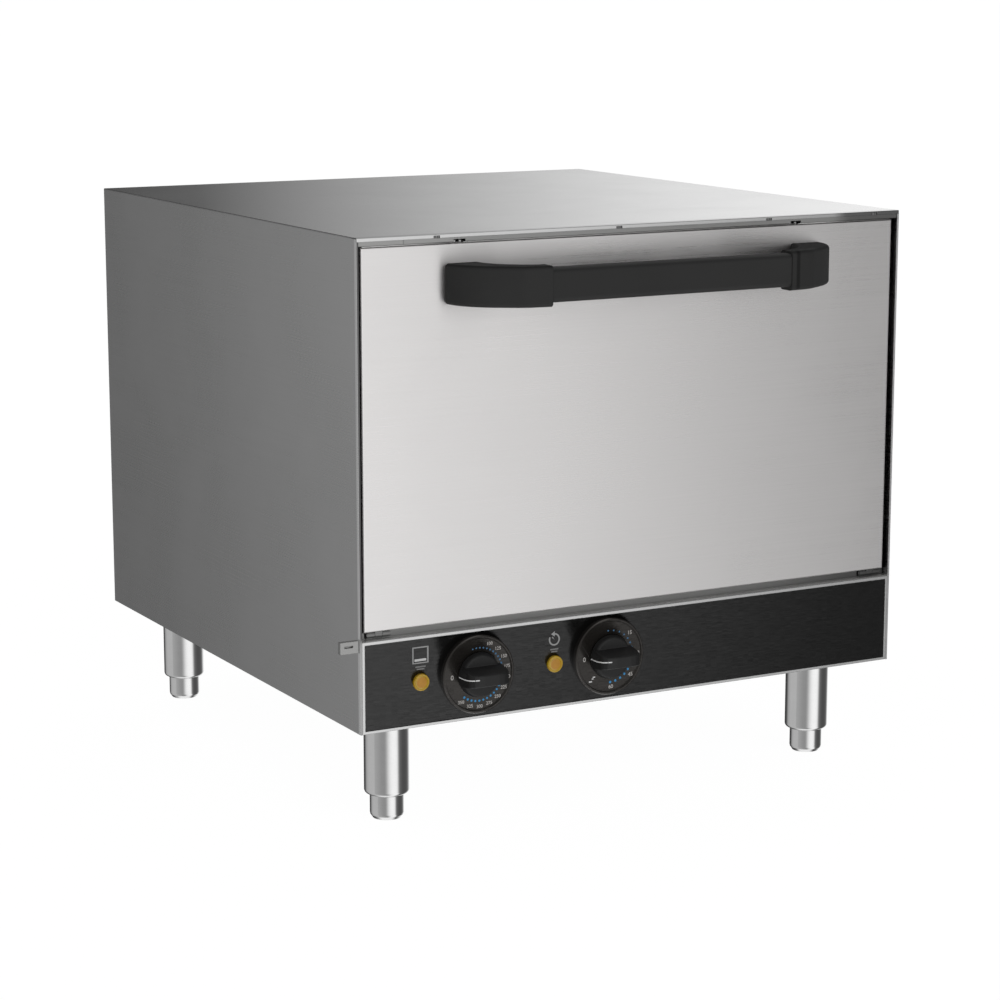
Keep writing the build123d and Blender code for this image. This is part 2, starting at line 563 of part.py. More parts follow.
# ------------------------------------------------------------ legs and feet
for name, lx, ld in (("front_left", -LEG_X, LEG_D0), ("front_right", LEG_X, LEG_D0),
                     ("rear_left", -LEG_X, LEG_D1), ("rear_right", LEG_X, LEG_D1)):
    leg_plane = Plane(origin=(XC + lx, YF + ld, ZB), x_dir=(1, 0, 0), z_dir=(0, -1, 0))
    leg_axis = Axis((XC + lx, YF + ld, ZB), (0, 0, 1))

    # Tube with a threaded plug at its foot and a drilled cap at its head.
    with BuildPart() as leg:
        with BuildSketch(leg_plane):
            with BuildLine():
                Line((SCREW_R + 0.05, LEG_TUBE_Z), (LEG_R - 4.0, LEG_TUBE_Z))
                RadiusArc((LEG_R - 4.0, LEG_TUBE_Z), (LEG_R, LEG_TUBE_Z + 4.0), -4.0)
                Polyline((LEG_R, LEG_TUBE_Z + 4.0), (LEG_R, 0), (5.0, 0), (5.0, -5.0), (LEG_R - 2.5, -5.0),
                         (LEG_R - 2.5, LEG_TUBE_Z + 20), (SCREW_R + 0.05, LEG_TUBE_Z + 20),
                         (SCREW_R + 0.05, LEG_TUBE_Z))
            make_face()
        revolve(axis=leg_axis)
    leg.part.label = name + "_leg"
    export_step(leg.part, "parts/" + name + "_leg.step")

    # Foot: a chamfered collar under a long screw that runs in the plug.
    with BuildPart() as foot:
        with BuildSketch(leg_plane):
            with BuildLine():
                Polyline((0, -LEG), (FOOT_R - 2.6, -LEG), (FOOT_R - 0.4, -LEG + 3.2), (FOOT_R, -LEG + 5.0),
                         (FOOT_R, LEG_TUBE_Z - 1.0), (FOOT_R - 0.7, LEG_TUBE_Z - 0.3), (SCREW_R, LEG_TUBE_Z - 0.3),
                         (SCREW_R, -12.0), (SCREW_R - 1.5, -10.5), (0, -10.5), (0, -LEG))
            make_face()
        revolve(axis=leg_axis)
    foot.part.label = name + "_foot"
    export_step(foot.part, "parts/" + name + "_foot.step")

with BuildPart() as leg_mounting_bolts:
    for lx in (-LEG_X, LEG_X):
        for ld in (LEG_D0, LEG_D1):
            bar_z(lx, ld, -8.0, T, 5.0)
            with BuildSketch(level(T)):
                with Locations((lx, ld)):
                    RegularPolygon(9.2, 6)
            extrude(amount=6.4)
leg_mounting_bolts.part.label = "leg_mounting_bolts"
export_step(leg_mounting_bolts.part, "parts/leg_mounting_bolts.step")

# -------------------------------------------------------------------- hinge
# A short hinge at each end of the sill: two fixed knuckles with one of the
# door's between them, on a rod.  The sill leaf stands up between the hinges and
# closes the line under the door.
HINGE_X = (-288.0, 264.0)
SILL_D = 8.2

with BuildPart() as sill_hinge_leaf:
    block(-294.8, 294.8, SILL_D, 30, DECK_TOP, DECK_TOP + T)
    for x0 in (-294.8, 289.4):
        block(x0, x0 + 5.4, SILL_D, SILL_D + T, DECK_TOP, DOOR_Z0 - 0.5)
    block(HINGE_X[0] + 3 * KNUCKLE_L + 1, HINGE_X[1] - 1, SILL_D, SILL_D + T, DECK_TOP, DOOR_Z0 - 0.5)
    for hx in HINGE_X:
        for x0 in (hx, hx + 2 * KNUCKLE_L):
            bar_x(x0, x0 + KNUCKLE_L, HINGE_D, HINGE_Z, KNUCKLE_R)
            block(x0, x0 + KNUCKLE_L, HINGE_D, 14.0, DECK_TOP, HINGE_Z - 0.6)
            bar_x(x0 - 1, x0 + KNUCKLE_L + 1, HINGE_D, HINGE_Z, ROD_R + 0.05, mode=Mode.SUBTRACT)
sill_hinge_leaf.part.label = "sill_hinge_leaf"
export_step(sill_hinge_leaf.part, "parts/sill_hinge_leaf.step")

with BuildPart() as door_hinge_knuckles:
    for hx in HINGE_X:
        x0, x1 = hx + KNUCKLE_L + 0.2, hx + 2 * KNUCKLE_L - 0.2
        bar_x(x0, x1, HINGE_D, HINGE_Z, KNUCKLE_R)
        block(x0, x1, HINGE_D - 2.4, HINGE_D + 2.4, HINGE_Z, DOOR_Z0)
        bar_x(x0 - 1, x1 + 1, HINGE_D, HINGE_Z, ROD_R + 0.06, mode=Mode.SUBTRACT)
door_hinge_knuckles.part.label = "door_hinge_knuckles"
export_step(door_hinge_knuckles.part, "parts/door_hinge_knuckles.step")

with BuildPart() as hinge_rod:
    for hx in HINGE_X:
        bar_x(hx - 0.4, hx + 3 * KNUCKLE_L + 0.4, HINGE_D, HINGE_Z, ROD_R)
hinge_rod.part.label = "hinge_rod"
export_step(hinge_rod.part, "parts/hinge_rod.step")

# Small slotted keeper tab outside the left panel, beside the sill.
with BuildPart() as side_keeper_tab:
    block(-HW - TAB_REACH, -HW, 2.5, 7.0, 77.7, 89.0)
    block(-HW - 14.5, -HW - 6.0, 1.0, 5.4, 83.2, 85.2, mode=Mode.SUBTRACT)
    fillet(side_keeper_tab.edges().filter_by(Axis.Y).group_by(Axis.X)[0], 0.8)
side_keeper_tab.part.label = "side_keeper_tab"
export_step(side_keeper_tab.part, "parts/side_keeper_tab.step")

# --------------------------------------------------------------------- door
HANDLE_Z = 411.5
HANDLE_SCREWS = [(sx, HANDLE_Z + dz) for sx in (-189.0, 189.0) for dz in (-10.0, 10.0)]
with BuildPart() as door_outer_skin:
    block(-DOOR_HW, DOOR_HW, DOOR_D0, DOOR_D1, DOOR_Z0, DOOR_Z1)
    fillet(door_outer_skin.edges().group_by(Axis.Y)[0], 1.8)
    block(-DOOR_HW + T, DOOR_HW - T, DOOR_D0 + T, DOOR_D1 + 1, DOOR_Z0 + T, DOOR_Z1 - T, mode=Mode.SUBTRACT)
    for sx, sz in HANDLE_SCREWS:
        bar_y(sx, sz, 0, 8, 2.6, mode=Mode.SUBTRACT)
door_outer_skin.part.label = "door_outer_skin"
export_step(door_outer_skin.part, "parts/door_outer_skin.step")

PLUG_HW, PLUG_Z0, PLUG_Z1, PLUG_D = 244.0, 118.0, 408.0, 40.0
with BuildPart() as door_inner_panel:
    block(-DOOR_HW, DOOR_HW, DOOR_D1, DOOR_D1 + T, DOOR_Z0, DOOR_Z1)
    block(-PLUG_HW, PLUG_HW, DOOR_D1 + T, PLUG_D, PLUG_Z0, PLUG_Z1)
    fillet(door_inner_panel.edges().group_by(Axis.Y)[-1], 2.0)
    block(-PLUG_HW + T, PLUG_HW - T, DOOR_D1 - 1, PLUG_D - T, PLUG_Z0 + T, PLUG_Z1 - T, mode=Mode.SUBTRACT)
door_inner_panel.part.label = "door_inner_panel"
export_step(door_inner_panel.part, "parts/door_inner_panel.step")

with BuildPart() as door_insulation:
    block(-DOOR_HW + T + 0.2, DOOR_HW - T - 0.2, 12.0, DOOR_D1, DOOR_Z0 + T + 0.2, DOOR_Z1 - T - 0.2)
door_insulation.part.label = "door_insulation"
export_step(door_insulation.part, "parts/door_insulation.step")

# Two small slotted strikes on the door's top edge.
with BuildPart() as door_top_strikes:
    for sx in STRIKE_X:
        block(sx - 4.5, sx + 4.5, 6.5, 14.5, DOOR_Z1, DOOR_Z1 + 2.6)
        block(sx - 1.6, sx + 1.6, 6.0, 12.0, DOOR_Z1 + 0.8, DOOR_Z1 + 3.0, mode=Mode.SUBTRACT)
door_top_strikes.part.label = "door_top_strikes"
export_step(door_top_strikes.part, "parts/door_top_strikes.step")

# Rope gasket in four runs on the frame, clear of the closed door by 0.4.
GASKET_W = 8.0
with BuildPart() as door_gasket:
    g0, g1 = CAV_HW + 2.0, CAV_HW + 2.0 + GASKET_W
    zb0, zb1 = CAV_Z0 - 2.0 - GASKET_W, CAV_Z0 - 2.0
    zt0, zt1 = CAV_Z1 + 2.0, CAV_Z1 + 2.0 + GASKET_W
    d_front = DOOR_D1 + T + 0.4
    block(-g1, -g0, d_front, FRAME_D, zb1 + SEAM, zt0 - SEAM)
    block(g0, g1, d_front, FRAME_D, zb1 + SEAM, zt0 - SEAM)
    block(-g1, g1, d_front, FRAME_D, zb0, zb1)
    block(-g1, g1, d_front, FRAME_D, zt0, zt1)
    fillet(door_gasket.edges().group_by(Axis.Y)[0], 2.6)
door_gasket.part.label = "door_gasket"
export_step(door_gasket.part, "parts/door_gasket.step")

# ------------------------------------------------------------------- handle
BAR_HL = 130.0
BAR_Z0, BAR_Z1 = 395.7, 427.4
CAP_Z0, CAP_Z1 = 392.2, 429.7
BAR_D0, BAR_D1 = -HANDLE_OUT + 0.8, -HANDLE_OUT + 19.0
with BuildPart() as handle_bar:
    with BuildSketch(section(-BAR_HL)):
        with Locations(((BAR_D0 + BAR_D1) / 2, (BAR_Z0 + BAR_Z1) / 2)):
            RectangleRounded(BAR_D1 - BAR_D0, BAR_Z1 - BAR_Z0, 5.0)
    extrude(amount=2 * BAR_HL)
handle_bar.part.label = "handle_bar"
export_step(handle_bar.part, "parts/handle_bar.step")

# Curved end pieces, sweeping from the door's face out to the bar.
with BuildPart() as handle_ends:
    for s in (-1, 1):
        with BuildSketch(level(CAP_Z0)):
            with BuildLine():
                Spline((s * 206.4, DOOR_D0), (s * 204.8, -8.0), (s * 196.0, -26.0), (s * 183.2, -39.0),
                       (s * 162.5, -52.0), (s * BAR_HL, -HANDLE_OUT),
                       tangents=((0, -1), (-s * 1.0, -0.12)))
                Line((s * BAR_HL, -HANDLE_OUT), (s * BAR_HL, BAR_D1 + 1.0))
                Spline((s * BAR_HL, BAR_D1 + 1.0), (s * 152.0, -31.0), (s * 166.0, -16.0), (s * 171.0, DOOR_D0),
                       tangents=((s * 1.0, 0.1), (s * 0.12, 1)))
                Line((s * 171.0, DOOR_D0), (s * 206.4, DOOR_D0))
            make_face()
        extrude(amount=CAP_Z1 - CAP_Z0)
    rims = handle_ends.faces().filter_by(Axis.Z).edges().filter_by(GeomType.BSPLINE)
    fillet(rims, 3.6)
    for sx, sz in HANDLE_SCREWS:
        bar_y(sx, sz, -12.0, 8.0, 2.5, mode=Mode.SUBTRACT)
handle_ends.part.label = "handle_ends"
export_step(handle_ends.part, "parts/handle_ends.step")

with BuildPart() as handle_screws:
    for sx, sz in HANDLE_SCREWS:
        bar_y(sx, sz, -12.0, DOOR_D0 + T, 2.5)
        bar_y(sx, sz, DOOR_D0 + T, DOOR_D0 + T + 3.2, 4.6)
handle_screws.part.label = "handle_screws"
export_step(handle_screws.part, "parts/handle_screws.step")
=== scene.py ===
import json
import math

import bmesh
import bpy
from mathutils import Matrix, Vector
from mathutils.bvhtree import BVHTree


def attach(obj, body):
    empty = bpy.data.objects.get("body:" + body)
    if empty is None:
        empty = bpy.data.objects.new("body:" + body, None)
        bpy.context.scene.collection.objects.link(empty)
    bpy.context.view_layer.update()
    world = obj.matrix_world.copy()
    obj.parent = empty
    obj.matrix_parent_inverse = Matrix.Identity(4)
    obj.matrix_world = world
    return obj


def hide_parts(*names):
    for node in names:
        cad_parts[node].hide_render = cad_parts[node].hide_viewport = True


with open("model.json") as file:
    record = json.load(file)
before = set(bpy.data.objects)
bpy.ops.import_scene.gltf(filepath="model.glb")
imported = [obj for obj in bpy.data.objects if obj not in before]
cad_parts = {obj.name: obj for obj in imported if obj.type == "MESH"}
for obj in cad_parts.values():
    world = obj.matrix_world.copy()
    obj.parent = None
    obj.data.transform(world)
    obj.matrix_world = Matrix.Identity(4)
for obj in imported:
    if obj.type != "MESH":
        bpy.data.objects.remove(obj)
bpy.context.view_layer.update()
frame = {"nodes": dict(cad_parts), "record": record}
NODES = frame["nodes"]

# ------------------------------------------------------------------ reference
# Body coordinates in mm: x from the cabinet's middle, d behind its front plane,
# z above its underside.
XC, YF, ZB = 9.5, -291.5, 102.0


def B(x, d, z):
    return Vector(((XC + x) / 1000, (YF + d) / 1000, (ZB + z) / 1000))


TEMP_X, TIMER_X, DIAL_Z = -177.0, -34.5, 44.0
LAMP_Z = 43.0
HEAT_LAMP_X, TIMER_LAMP_X = -235.6, -93.0

# --------------------------------------------------------------------- camera
cam_data = bpy.data.cameras.new("camera")
cam = bpy.data.objects.new("camera", cam_data)
bpy.context.scene.collection.objects.link(cam)
cam.location = (-1.3610, -2.5204, 0.8027)
cam.rotation_euler = (math.radians(79.002), 0.0, math.radians(-28.664))
cam_data.lens = 100.26
cam_data.sensor_width = 36.0
cam_data.clip_start = 0.05
cam_data.clip_end = 200.0
bpy.context.scene.camera = cam

view = bpy.context.scene.view_settings
view.view_transform = "Standard"
view.look = "None"
view.exposure = 0.0
view.gamma = 1.0


# ------------------------------------------------------------- node shorthand
def srgb(v):
    return v / 12.92 if v <= 0.04045 else ((v + 0.055) / 1.055) ** 2.4


def rgb(r, g, b):
    """Colour from 0-255 display values."""
    return (srgb(r / 255), srgb(g / 255), srgb(b / 255), 1.0)


class Mat:
    """A node material and short ways to add its nodes."""

    def __init__(self, name):
        self.m = bpy.data.materials.new(name)
        self.m.use_nodes = True
        self.t = self.m.node_tree
        self.t.nodes.clear()
        self.out = self.t.nodes.new("ShaderNodeOutputMaterial")
        self.bsdf = self.t.nodes.new("ShaderNodeBsdfPrincipled")
        self.t.links.new(self.bsdf.outputs[0], self.out.inputs[0])
        self.coord = self.t.nodes.new("ShaderNodeTexCoord").outputs["Object"]

    def set(self, **values):
        for k, v in values.items():
            self.bsdf.inputs[k.replace("_", " ")].default_value = v

    def link(self, a, b):
        self.t.links.new(a, b)

    def into(self, socket_name, source):
        self.link(source, self.bsdf.inputs[socket_name])

    def mapping(self, scale=(1, 1, 1), rot=(0, 0, 0), loc=(0, 0, 0), vec=None):
        n = self.t.nodes.new("ShaderNodeMapping")
        n.inputs["Scale"].default_value = scale
        n.inputs["Rotation"].default_value = rot
        n.inputs["Location"].default_value = loc
        self.link(vec or self.coord, n.inputs["Vector"])
        return n.outputs[0]

    def noise(self, vec, scale=1.0, detail=3.0, rough=0.5, distortion=0.0):
        n = self.t.nodes.new("ShaderNodeTexNoise")
        n.inputs["Scale"].default_value = scale
        n.inputs["Detail"].default_value = detail
        n.inputs["Roughness"].default_value = rough
        n.inputs["Distortion"].default_value = distortion
        self.link(vec, n.inputs["Vector"])
        return n.outputs["Fac"]

    def voronoi(self, vec, scale=1.0, feature="F1", out="Distance", randomness=1.0):
        n = self.t.nodes.new("ShaderNodeTexVoronoi")
        n.feature = feature
        n.inputs["Scale"].default_value = scale
        n.inputs["Randomness"].default_value = randomness
        self.link(vec, n.inputs["Vector"])
        return n.outputs[out]

    def wave(self, vec, scale=1.0, distortion=0.0, direction="X", detail=2.0):
        n = self.t.nodes.new("ShaderNodeTexWave")
        n.bands_direction = direction
        n.inputs["Scale"].default_value = scale
        n.inputs["Distortion"].default_value = distortion
        n.inputs["Detail"].default_value = detail
        self.link(vec, n.inputs["Vector"])
        return n.outputs["Fac"]

    def math(self, op, a, b=0.0, c=0.0, clamp=False):
        n = self.t.nodes.new("ShaderNodeMath")
        n.operation = op
        n.use_clamp = clamp
        for i, v in enumerate((a, b, c)):
            if isinstance(v, (int, float)):
                n.inputs[i].default_value = v
            else:
                self.link(v, n.inputs[i])
        return n.outputs[0]

    def spread(self, value, low, high, lo_in=0.3, hi_in=0.7):
        """Maps a noise's usual range to low..high."""
        n = self.t.nodes.new("ShaderNodeMapRange")
        n.inputs["From Min"].default_value = lo_in
        n.inputs["From Max"].default_value = hi_in
        n.inputs["To Min"].default_value = low
        n.inputs["To Max"].default_value = high
        self.link(value, n.inputs["Value"])
        return n.outputs[0]

    def mix(self, fac, a, b, blend="MIX"):
        n = self.t.nodes.new("ShaderNodeMix")
        n.data_type = "RGBA"
        n.blend_type = blend
        for i, v in ((0, fac), (6, a), (7, b)):
            if isinstance(v, (int, float)):
                n.inputs[i].default_value = v
            elif isinstance(v, (tuple, list)):
                n.inputs[i].default_value = v
            else:
                self.link(v, n.inputs[i])
        return n.outputs[2]

    def ramp(self, fac, stops, interpolation="LINEAR"):
        n = self.t.nodes.new("ShaderNodeValToRGB")
        cr = n.color_ramp
        cr.interpolation = interpolation
        while len(cr.elements) < len(stops):
            cr.elements.new(0.5)
        for e, (pos, col) in zip(cr.elements, stops):
            e.position = pos
            e.color = col if isinstance(col, tuple) else (col, col, col, 1)
        self.link(fac, n.inputs["Fac"])
        return n.outputs["Color"]

    def bump(self, height, strength=0.3, distance=0.0001, normal=None):
        n = self.t.nodes.new("ShaderNodeBump")
        n.inputs["Strength"].default_value = strength
        n.inputs["Distance"].default_value = distance
        self.link(height, n.inputs["Height"])
        if normal is not None:
            self.link(normal, n.inputs["Normal"])
        return n.outputs[0]

    def rounded(self, radius=0.0005, samples=4):
        n = self.t.nodes.new("ShaderNodeBevel")
        n.samples = samples
        n.inputs["Radius"].default_value = radius
        return n.outputs[0]

    def grooved(self, low, high, cell=(160, 160, 16000)):
        """Normals of fine level grooves whose faces lean down by tangents from low to high."""
        v = self.t.nodes.new("ShaderNodeVectorMath")
        v.operation = "FLOOR"
        self.link(self.mapping(cell), v.inputs[0])
        w = self.t.nodes.new("ShaderNodeTexWhiteNoise")
        w.noise_dimensions = "3D"
        self.link(v.outputs[0], w.inputs["Vector"])
        lean = self.spread(w.outputs["Value"], -low, -high, 0.0, 1.0)
        c = self.t.nodes.new("ShaderNodeCombineXYZ")
        self.link(lean, c.inputs[2])
        geo = self.t.nodes.new("ShaderNodeNewGeometry")
        a = self.t.nodes.new("ShaderNodeVectorMath")
        a.operation = "ADD"
        self.link(geo.outputs["Normal"], a.inputs[0])
        self.link(c.outputs[0], a.inputs[1])
        n = self.t.nodes.new("ShaderNodeVectorMath")
        n.operation = "NORMALIZE"
        self.link(a.outputs[0], n.inputs[0])
        return n.outputs[0]

    def place(self, axis):
        """One of the piece's own coordinates, 0 to 2, in metres."""
        n = self.t.nodes.new("ShaderNodeSeparateXYZ")
        self.link(self.coord, n.inputs[0])
        return n.outputs[axis]

    def facing(self, axis):
        """How far the surface faces along one of the piece's own axes, -1 to 1, also when it has turned."""
        g = self.t.nodes.new("ShaderNodeTexCoord")
        n = self.t.nodes.new("ShaderNodeSeparateXYZ")
        self.link(g.outputs["Normal"], n.inputs[0])
        return n.outputs[axis]

    def ease(self, value, a, b, lo=0.0, hi=1.0):
        """lo below a, hi above b, and a smooth change between."""
        n = self.t.nodes.new("ShaderNodeMapRange")
        n.interpolation_type = "SMOOTHSTEP"
        n.inputs["From Min"].default_value = a
        n.inputs["From Max"].default_value = b
        n.inputs["To Min"].default_value = lo
        n.inputs["To Max"].default_value = hi
        self.link(value, n.inputs["Value"])
        return n.outputs[0]

    def tangent(self, axis):
        """Constant direction in the piece's own axes, as a tangent."""
        c = self.t.nodes.new("ShaderNodeCombineXYZ")
        for i in range(3):
            c.inputs[i].default_value = axis[i]
        v = self.t.nodes.new("ShaderNodeVectorTransform")
        v.vector_type = "VECTOR"
        v.convert_from = "OBJECT"
        v.convert_to = "WORLD"
        self.link(c.outputs[0], v.inputs[0])
        return v.outputs[0]


# ------------------------------------------------------------------ materials
GRAIN = {"X": (9, 2300, 2300), "Y": (2300, 9, 2300), "Z": (2300, 2300, 9)}


def brushed(name, colour, rough, grain="X", smear=(0, 0, 1), aniso=0.6, streak=0.07, cloud=0.05,
            relief=0.12, edge=0.0005, shade=None, metallic=None):
    """Brushed sheet: long fine lines along the grain, soft clouds from handling, and light smeared across the grain."""
    m = Mat(name)
    g1 = m.noise(m.mapping(GRAIN[grain]), 1.0, 4.0, 0.65)
    g2 = m.noise(m.mapping(tuple(s * (0.22 if s > 100 else 0.5) for s in GRAIN[grain])), 1.0, 3.0, 0.6)
    lines = m.math("ADD", m.math("MULTIPLY", g1, 0.6), m.math("MULTIPLY", g2, 0.4))
    clouds = m.noise(m.coord, 7.0, 4.0, 0.55, 0.3)
    tone = m.math("ADD", m.spread(lines, 1 - streak, 1 + streak), m.spread(clouds, -cloud, cloud))
    # shade, when given, multiplies painted light and shade into the tone.
    if shade:
        tone = m.math("MULTIPLY", tone, shade(m))
    c = m.t.nodes.new("ShaderNodeVectorMath")
    c.operation = "SCALE"
    c.inputs[0].default_value = colour[:3]
    m.link(tone, c.inputs["Scale"])
    m.into("Base Color", c.outputs[0])
    r = m.math("ADD", m.spread(lines, rough - 0.05, rough + 0.05), m.spread(clouds, -0.03, 0.04))
    m.into("Roughness", r)
    m.set(Metallic=1.0, Anisotropic=aniso)
    if metallic:
        m.into("Metallic", metallic(m))
    m.into("Tangent", m.tangent(smear))
    m.into("Normal", m.bump(lines, relief, 0.00003, m.rounded(edge)))
    return m.m


def polished(name, colour, rough, relief=0.03):
    """Polished tube or trim: faint turning lines, small rub marks."""
    m = Mat(name)
    rings = m.noise(m.mapping((60, 60, 5000)), 1.0, 2.0, 0.5)
    rub = m.noise(m.coord, 90.0, 5.0, 0.6)
    tone = m.math("ADD", m.spread(rings, 0.98, 1.02), m.spread(rub, -0.03, 0.02))
    c = m.t.nodes.new("ShaderNodeVectorMath")
    c.operation = "SCALE"
    c.inputs[0].default_value = colour[:3]
    m.link(tone, c.inputs["Scale"])
    m.into("Base Color", c.outputs[0])
    m.into("Roughness", m.spread(rub, rough - 0.02, rough + 0.035))
    m.set(Metallic=1.0)
    m.into("Normal", m.bump(rings, relief, 0.00001, m.rounded(0.0004)))
    return m.m


def plated(name, colour, rough, flakes=260.0, contrast=0.12):
    """Zinc or aluminium coated sheet with its crystal pattern."""
    m = Mat(name)
    cells = m.voronoi(m.mapping((1, 1, 1)), flakes, "F1", "Color")
    bw = m.t.nodes.new("ShaderNodeRGBToBW")
    m.link(cells, bw.inputs[0])
    clouds = m.noise(m.coord, 9.0, 4.0, 0.6)
    tone = m.math("ADD", m.spread(bw.outputs[0], 1 - contrast, 1 + contrast, 0.2, 0.8), m.spread(clouds, -0.05, 0.05))
    c = m.t.nodes.new("ShaderNodeVectorMath")
    c.operation = "SCALE"
    c.inputs[0].default_value = colour[:3]
    m.link(tone, c.inputs["Scale"])
    m.into("Base Color", c.outputs[0])
    m.into("Roughness", m.math("ADD", m.spread(bw.outputs[0], rough - 0.06, rough + 0.08, 0.2, 0.8),
                               m.spread(clouds, -0.04, 0.04)))
    m.set(Metallic=1.0)
    fine = m.noise(m.coord, 1400.0, 2.0, 0.5)
    m.into("Normal", m.bump(fine, 0.1, 0.00003, m.rounded(0.0004)))
    return m.m


def plastic(name, colour, rough, grain=1500.0, relief=0.25, spec=0.5, worn=0.15, edge=0.0005):
    """Moulded plastic: fine spark texture, slightly glossier where it is touched."""
    m = Mat(name)
    spark = m.noise(m.coord, grain, 3.0, 0.6)
    touch = m.noise(m.coord, 22.0, 4.0, 0.55)
    tone = m.math("ADD", m.spread(spark, 1 - worn * 0.5, 1 + worn * 0.5), m.spread(touch, -worn * 0.4, worn * 0.4))
    c = m.t.nodes.new("ShaderNodeVectorMath")
    c.operation = "SCALE"
    c.inputs[0].default_value = colour[:3]
    m.link(tone, c.inputs["Scale"])
    m.into("Base Color", c.outputs[0])
    m.into("Roughness", m.math("ADD", m.spread(touch, rough - 0.04, rough + 0.05), m.spread(spark, -0.03, 0.03)))
    m.set(Specular_IOR_Level=spec)
    m.into("Normal", m.bump(spark, relief, 0.00004, m.rounded(edge)))
    return m.m


def printed(name, colour, rough=0.55, emission=0.0):
    """Screen-printed ink: faint mottling of the film."""
    m = Mat(name)
    film = m.noise(m.coord, 1800.0, 3.0, 0.6)
    c = m.t.nodes.new("ShaderNodeVectorMath")
    c.operation = "SCALE"
    c.inputs[0].default_value = colour[:3]
    m.link(m.spread(film, 0.9, 1.08), c.inputs["Scale"])
    m.into("Base Color", c.outputs[0])
    m.into("Roughness", m.spread(film, rough - 0.05, rough + 0.08))
    m.into("Normal", m.bump(film, 0.15, 0.00002))
    return m.m


def side_shade(m):
    """Painted light and shade fixed to the sheet and tuned to the reference picture: a painted highlight on the hem,
    painted shade towards the back and low down, on the left panel's front-facing edge and on the right panel's inside
    face.
    """
    x, y, z = m.place(0), m.place(1), m.place(2)
    out = m.math("ABSOLUTE", m.facing(0))
    # Painted light falloff: brighter at the front and high up, darker towards the back and low down.
    along = m.math("MULTIPLY", m.ease(y, -0.29, 0.32, 1.10, 0.92), m.ease(z, 0.08, 0.60, 0.94, 1.07))
    # Painted highlight on the narrow outward strip at the front edge.
    hem = m.math("MULTIPLY", m.ease(y, -0.2866, -0.2872), m.ease(out, 0.6, 0.8))
    low = m.ease(z, 0.186, 0.194, 1.70, 1.60)
    gain = m.math("ADD", 1.0, m.math("MULTIPLY", hem, m.math("SUBTRACT", low, 1.0)))
    # Painted shade on the left panel's front-facing edge.
    dark = m.math("MULTIPLY", m.ease(m.facing(1), -0.70, -0.85), m.ease(x, 0.0, -0.01))
    dark = m.math("MULTIPLY", dark, m.ease(z, 0.186, 0.194, 0.38, 0.83))
    # Painted shade on the right panel's face towards the door gap.
    inside_face_painted_shade = m.math("MULTIPLY", m.ease(m.facing(0), -0.6, -0.8), m.ease(x, 0.24, 0.25, 0.0, 0.10))
    gain = m.math("MULTIPLY", gain, m.math("SUBTRACT", 1.0, m.math("MAXIMUM", dark, inside_face_painted_shade)))
    return m.math("MULTIPLY", along, gain)


def top_shade(m):
    """Painted light and shade tuned to the reference picture: painted shade on the top's front strip, a painted
    highlight on the lip, and much darker painted shade on the lip at its right end.
    """
    # Painted shade on the top's front strip.
    top = m.ease(m.place(1), -0.2835, -0.2815, 0.62, 1.0)
    # Painted highlight on the lip, turning to painted shade at its right end.
    lip = m.ease(m.place(0), 0.225, 0.245, 1.06, 0.34)
    front = m.ease(m.facing(1), -0.5, -0.8)
    return m.math("ADD", m.math("MULTIPLY", front, lip), m.math("MULTIPLY", m.math("SUBTRACT", 1.0, front), top))


def header_shade(m):
    """Painted shade tuned to the reference picture: darker at the right end."""
    return m.ease(m.place(0), 0.225, 0.25, 1.0, 0.50)


def deck_shade(m):
    """Painted light tuned to the reference picture: a bright upper face over a duller cut edge."""
    return m.ease(m.facing(2), 0.5, 0.8, 1.0, 2.8)


def sill_shade(m):
    """Painted shade tuned to the reference picture: darker towards the right end."""
    return m.ease(m.place(0), 0.12, 0.30, 1.0, 0.5)


def door_gap_metal(m):
    """Less metallic on the door's upper and lower folds, tuned so that the gaps look as light as in the reference picture."""
    return m.ease(m.math("ABSOLUTE", m.facing(2)), 0.80, 0.92, 1.0, 0.15)


def door_shade(m):
    """Painted shade tuned to the reference picture: the door's folded sides are darker."""
    return m.ease(m.math("ABSOLUTE", m.facing(0)), 0.85, 0.95, 1.0, 0.75)


MAT = {}
MAT["casing_side"] = brushed("casing_steel_side", (0.60, 0.60, 0.60), 0.29, "Y", (0, 0, 1), 0.75, 0.03, 0.03, 0.05,
                             shade=side_shade)
MAT["casing_top"] = brushed("casing_steel_top", (0.595, 0.595, 0.595), 0.14, "X", (0, 1, 0), 0.5, 0.025, 0.02, 0.04,
                            shade=top_shade)
MAT["casing_back"] = brushed("casing_steel_back", (0.60, 0.60, 0.60), 0.30, "X", (0, 0, 1), 0.75, 0.04, 0.04, 0.08)
MAT["door"] = brushed("door_steel", (0.79, 0.775, 0.77), 0.30, "X", (0, 0, 1), 0.75, 0.03, 0.02, 0.05,
                      shade=door_shade, metallic=door_gap_metal)
MAT["tab"] = brushed("tab_steel", (0.38, 0.38, 0.375), 0.34, "X", (0, 0, 1), 0.3, edge=0.0008)
MAT["bright_trim"] = brushed("bezel_steel", (0.66, 0.66, 0.66), 0.22, "X", (0, 0, 1), 0.5, 0.03, 0.02, 0.04, edge=0.0008)
MAT["leg_chrome"] = polished("leg_polished_steel", (0.79, 0.79, 0.79), 0.055)
MAT["aluminised_steel"] = plated("aluminised_sheet", (0.50, 0.50, 0.49), 0.42, 420.0, 0.08)
MAT["galvanised_steel"] = plated("galvanised_sheet", (0.52, 0.53, 0.54), 0.40, 130.0, 0.14)
MAT["deck_edge"] = brushed("chassis_deck_steel", (0.26, 0.26, 0.257), 0.46, "X", (0, 0, 1), 0.3, 0.04, 0.04, 0.06,
                           shade=deck_shade)
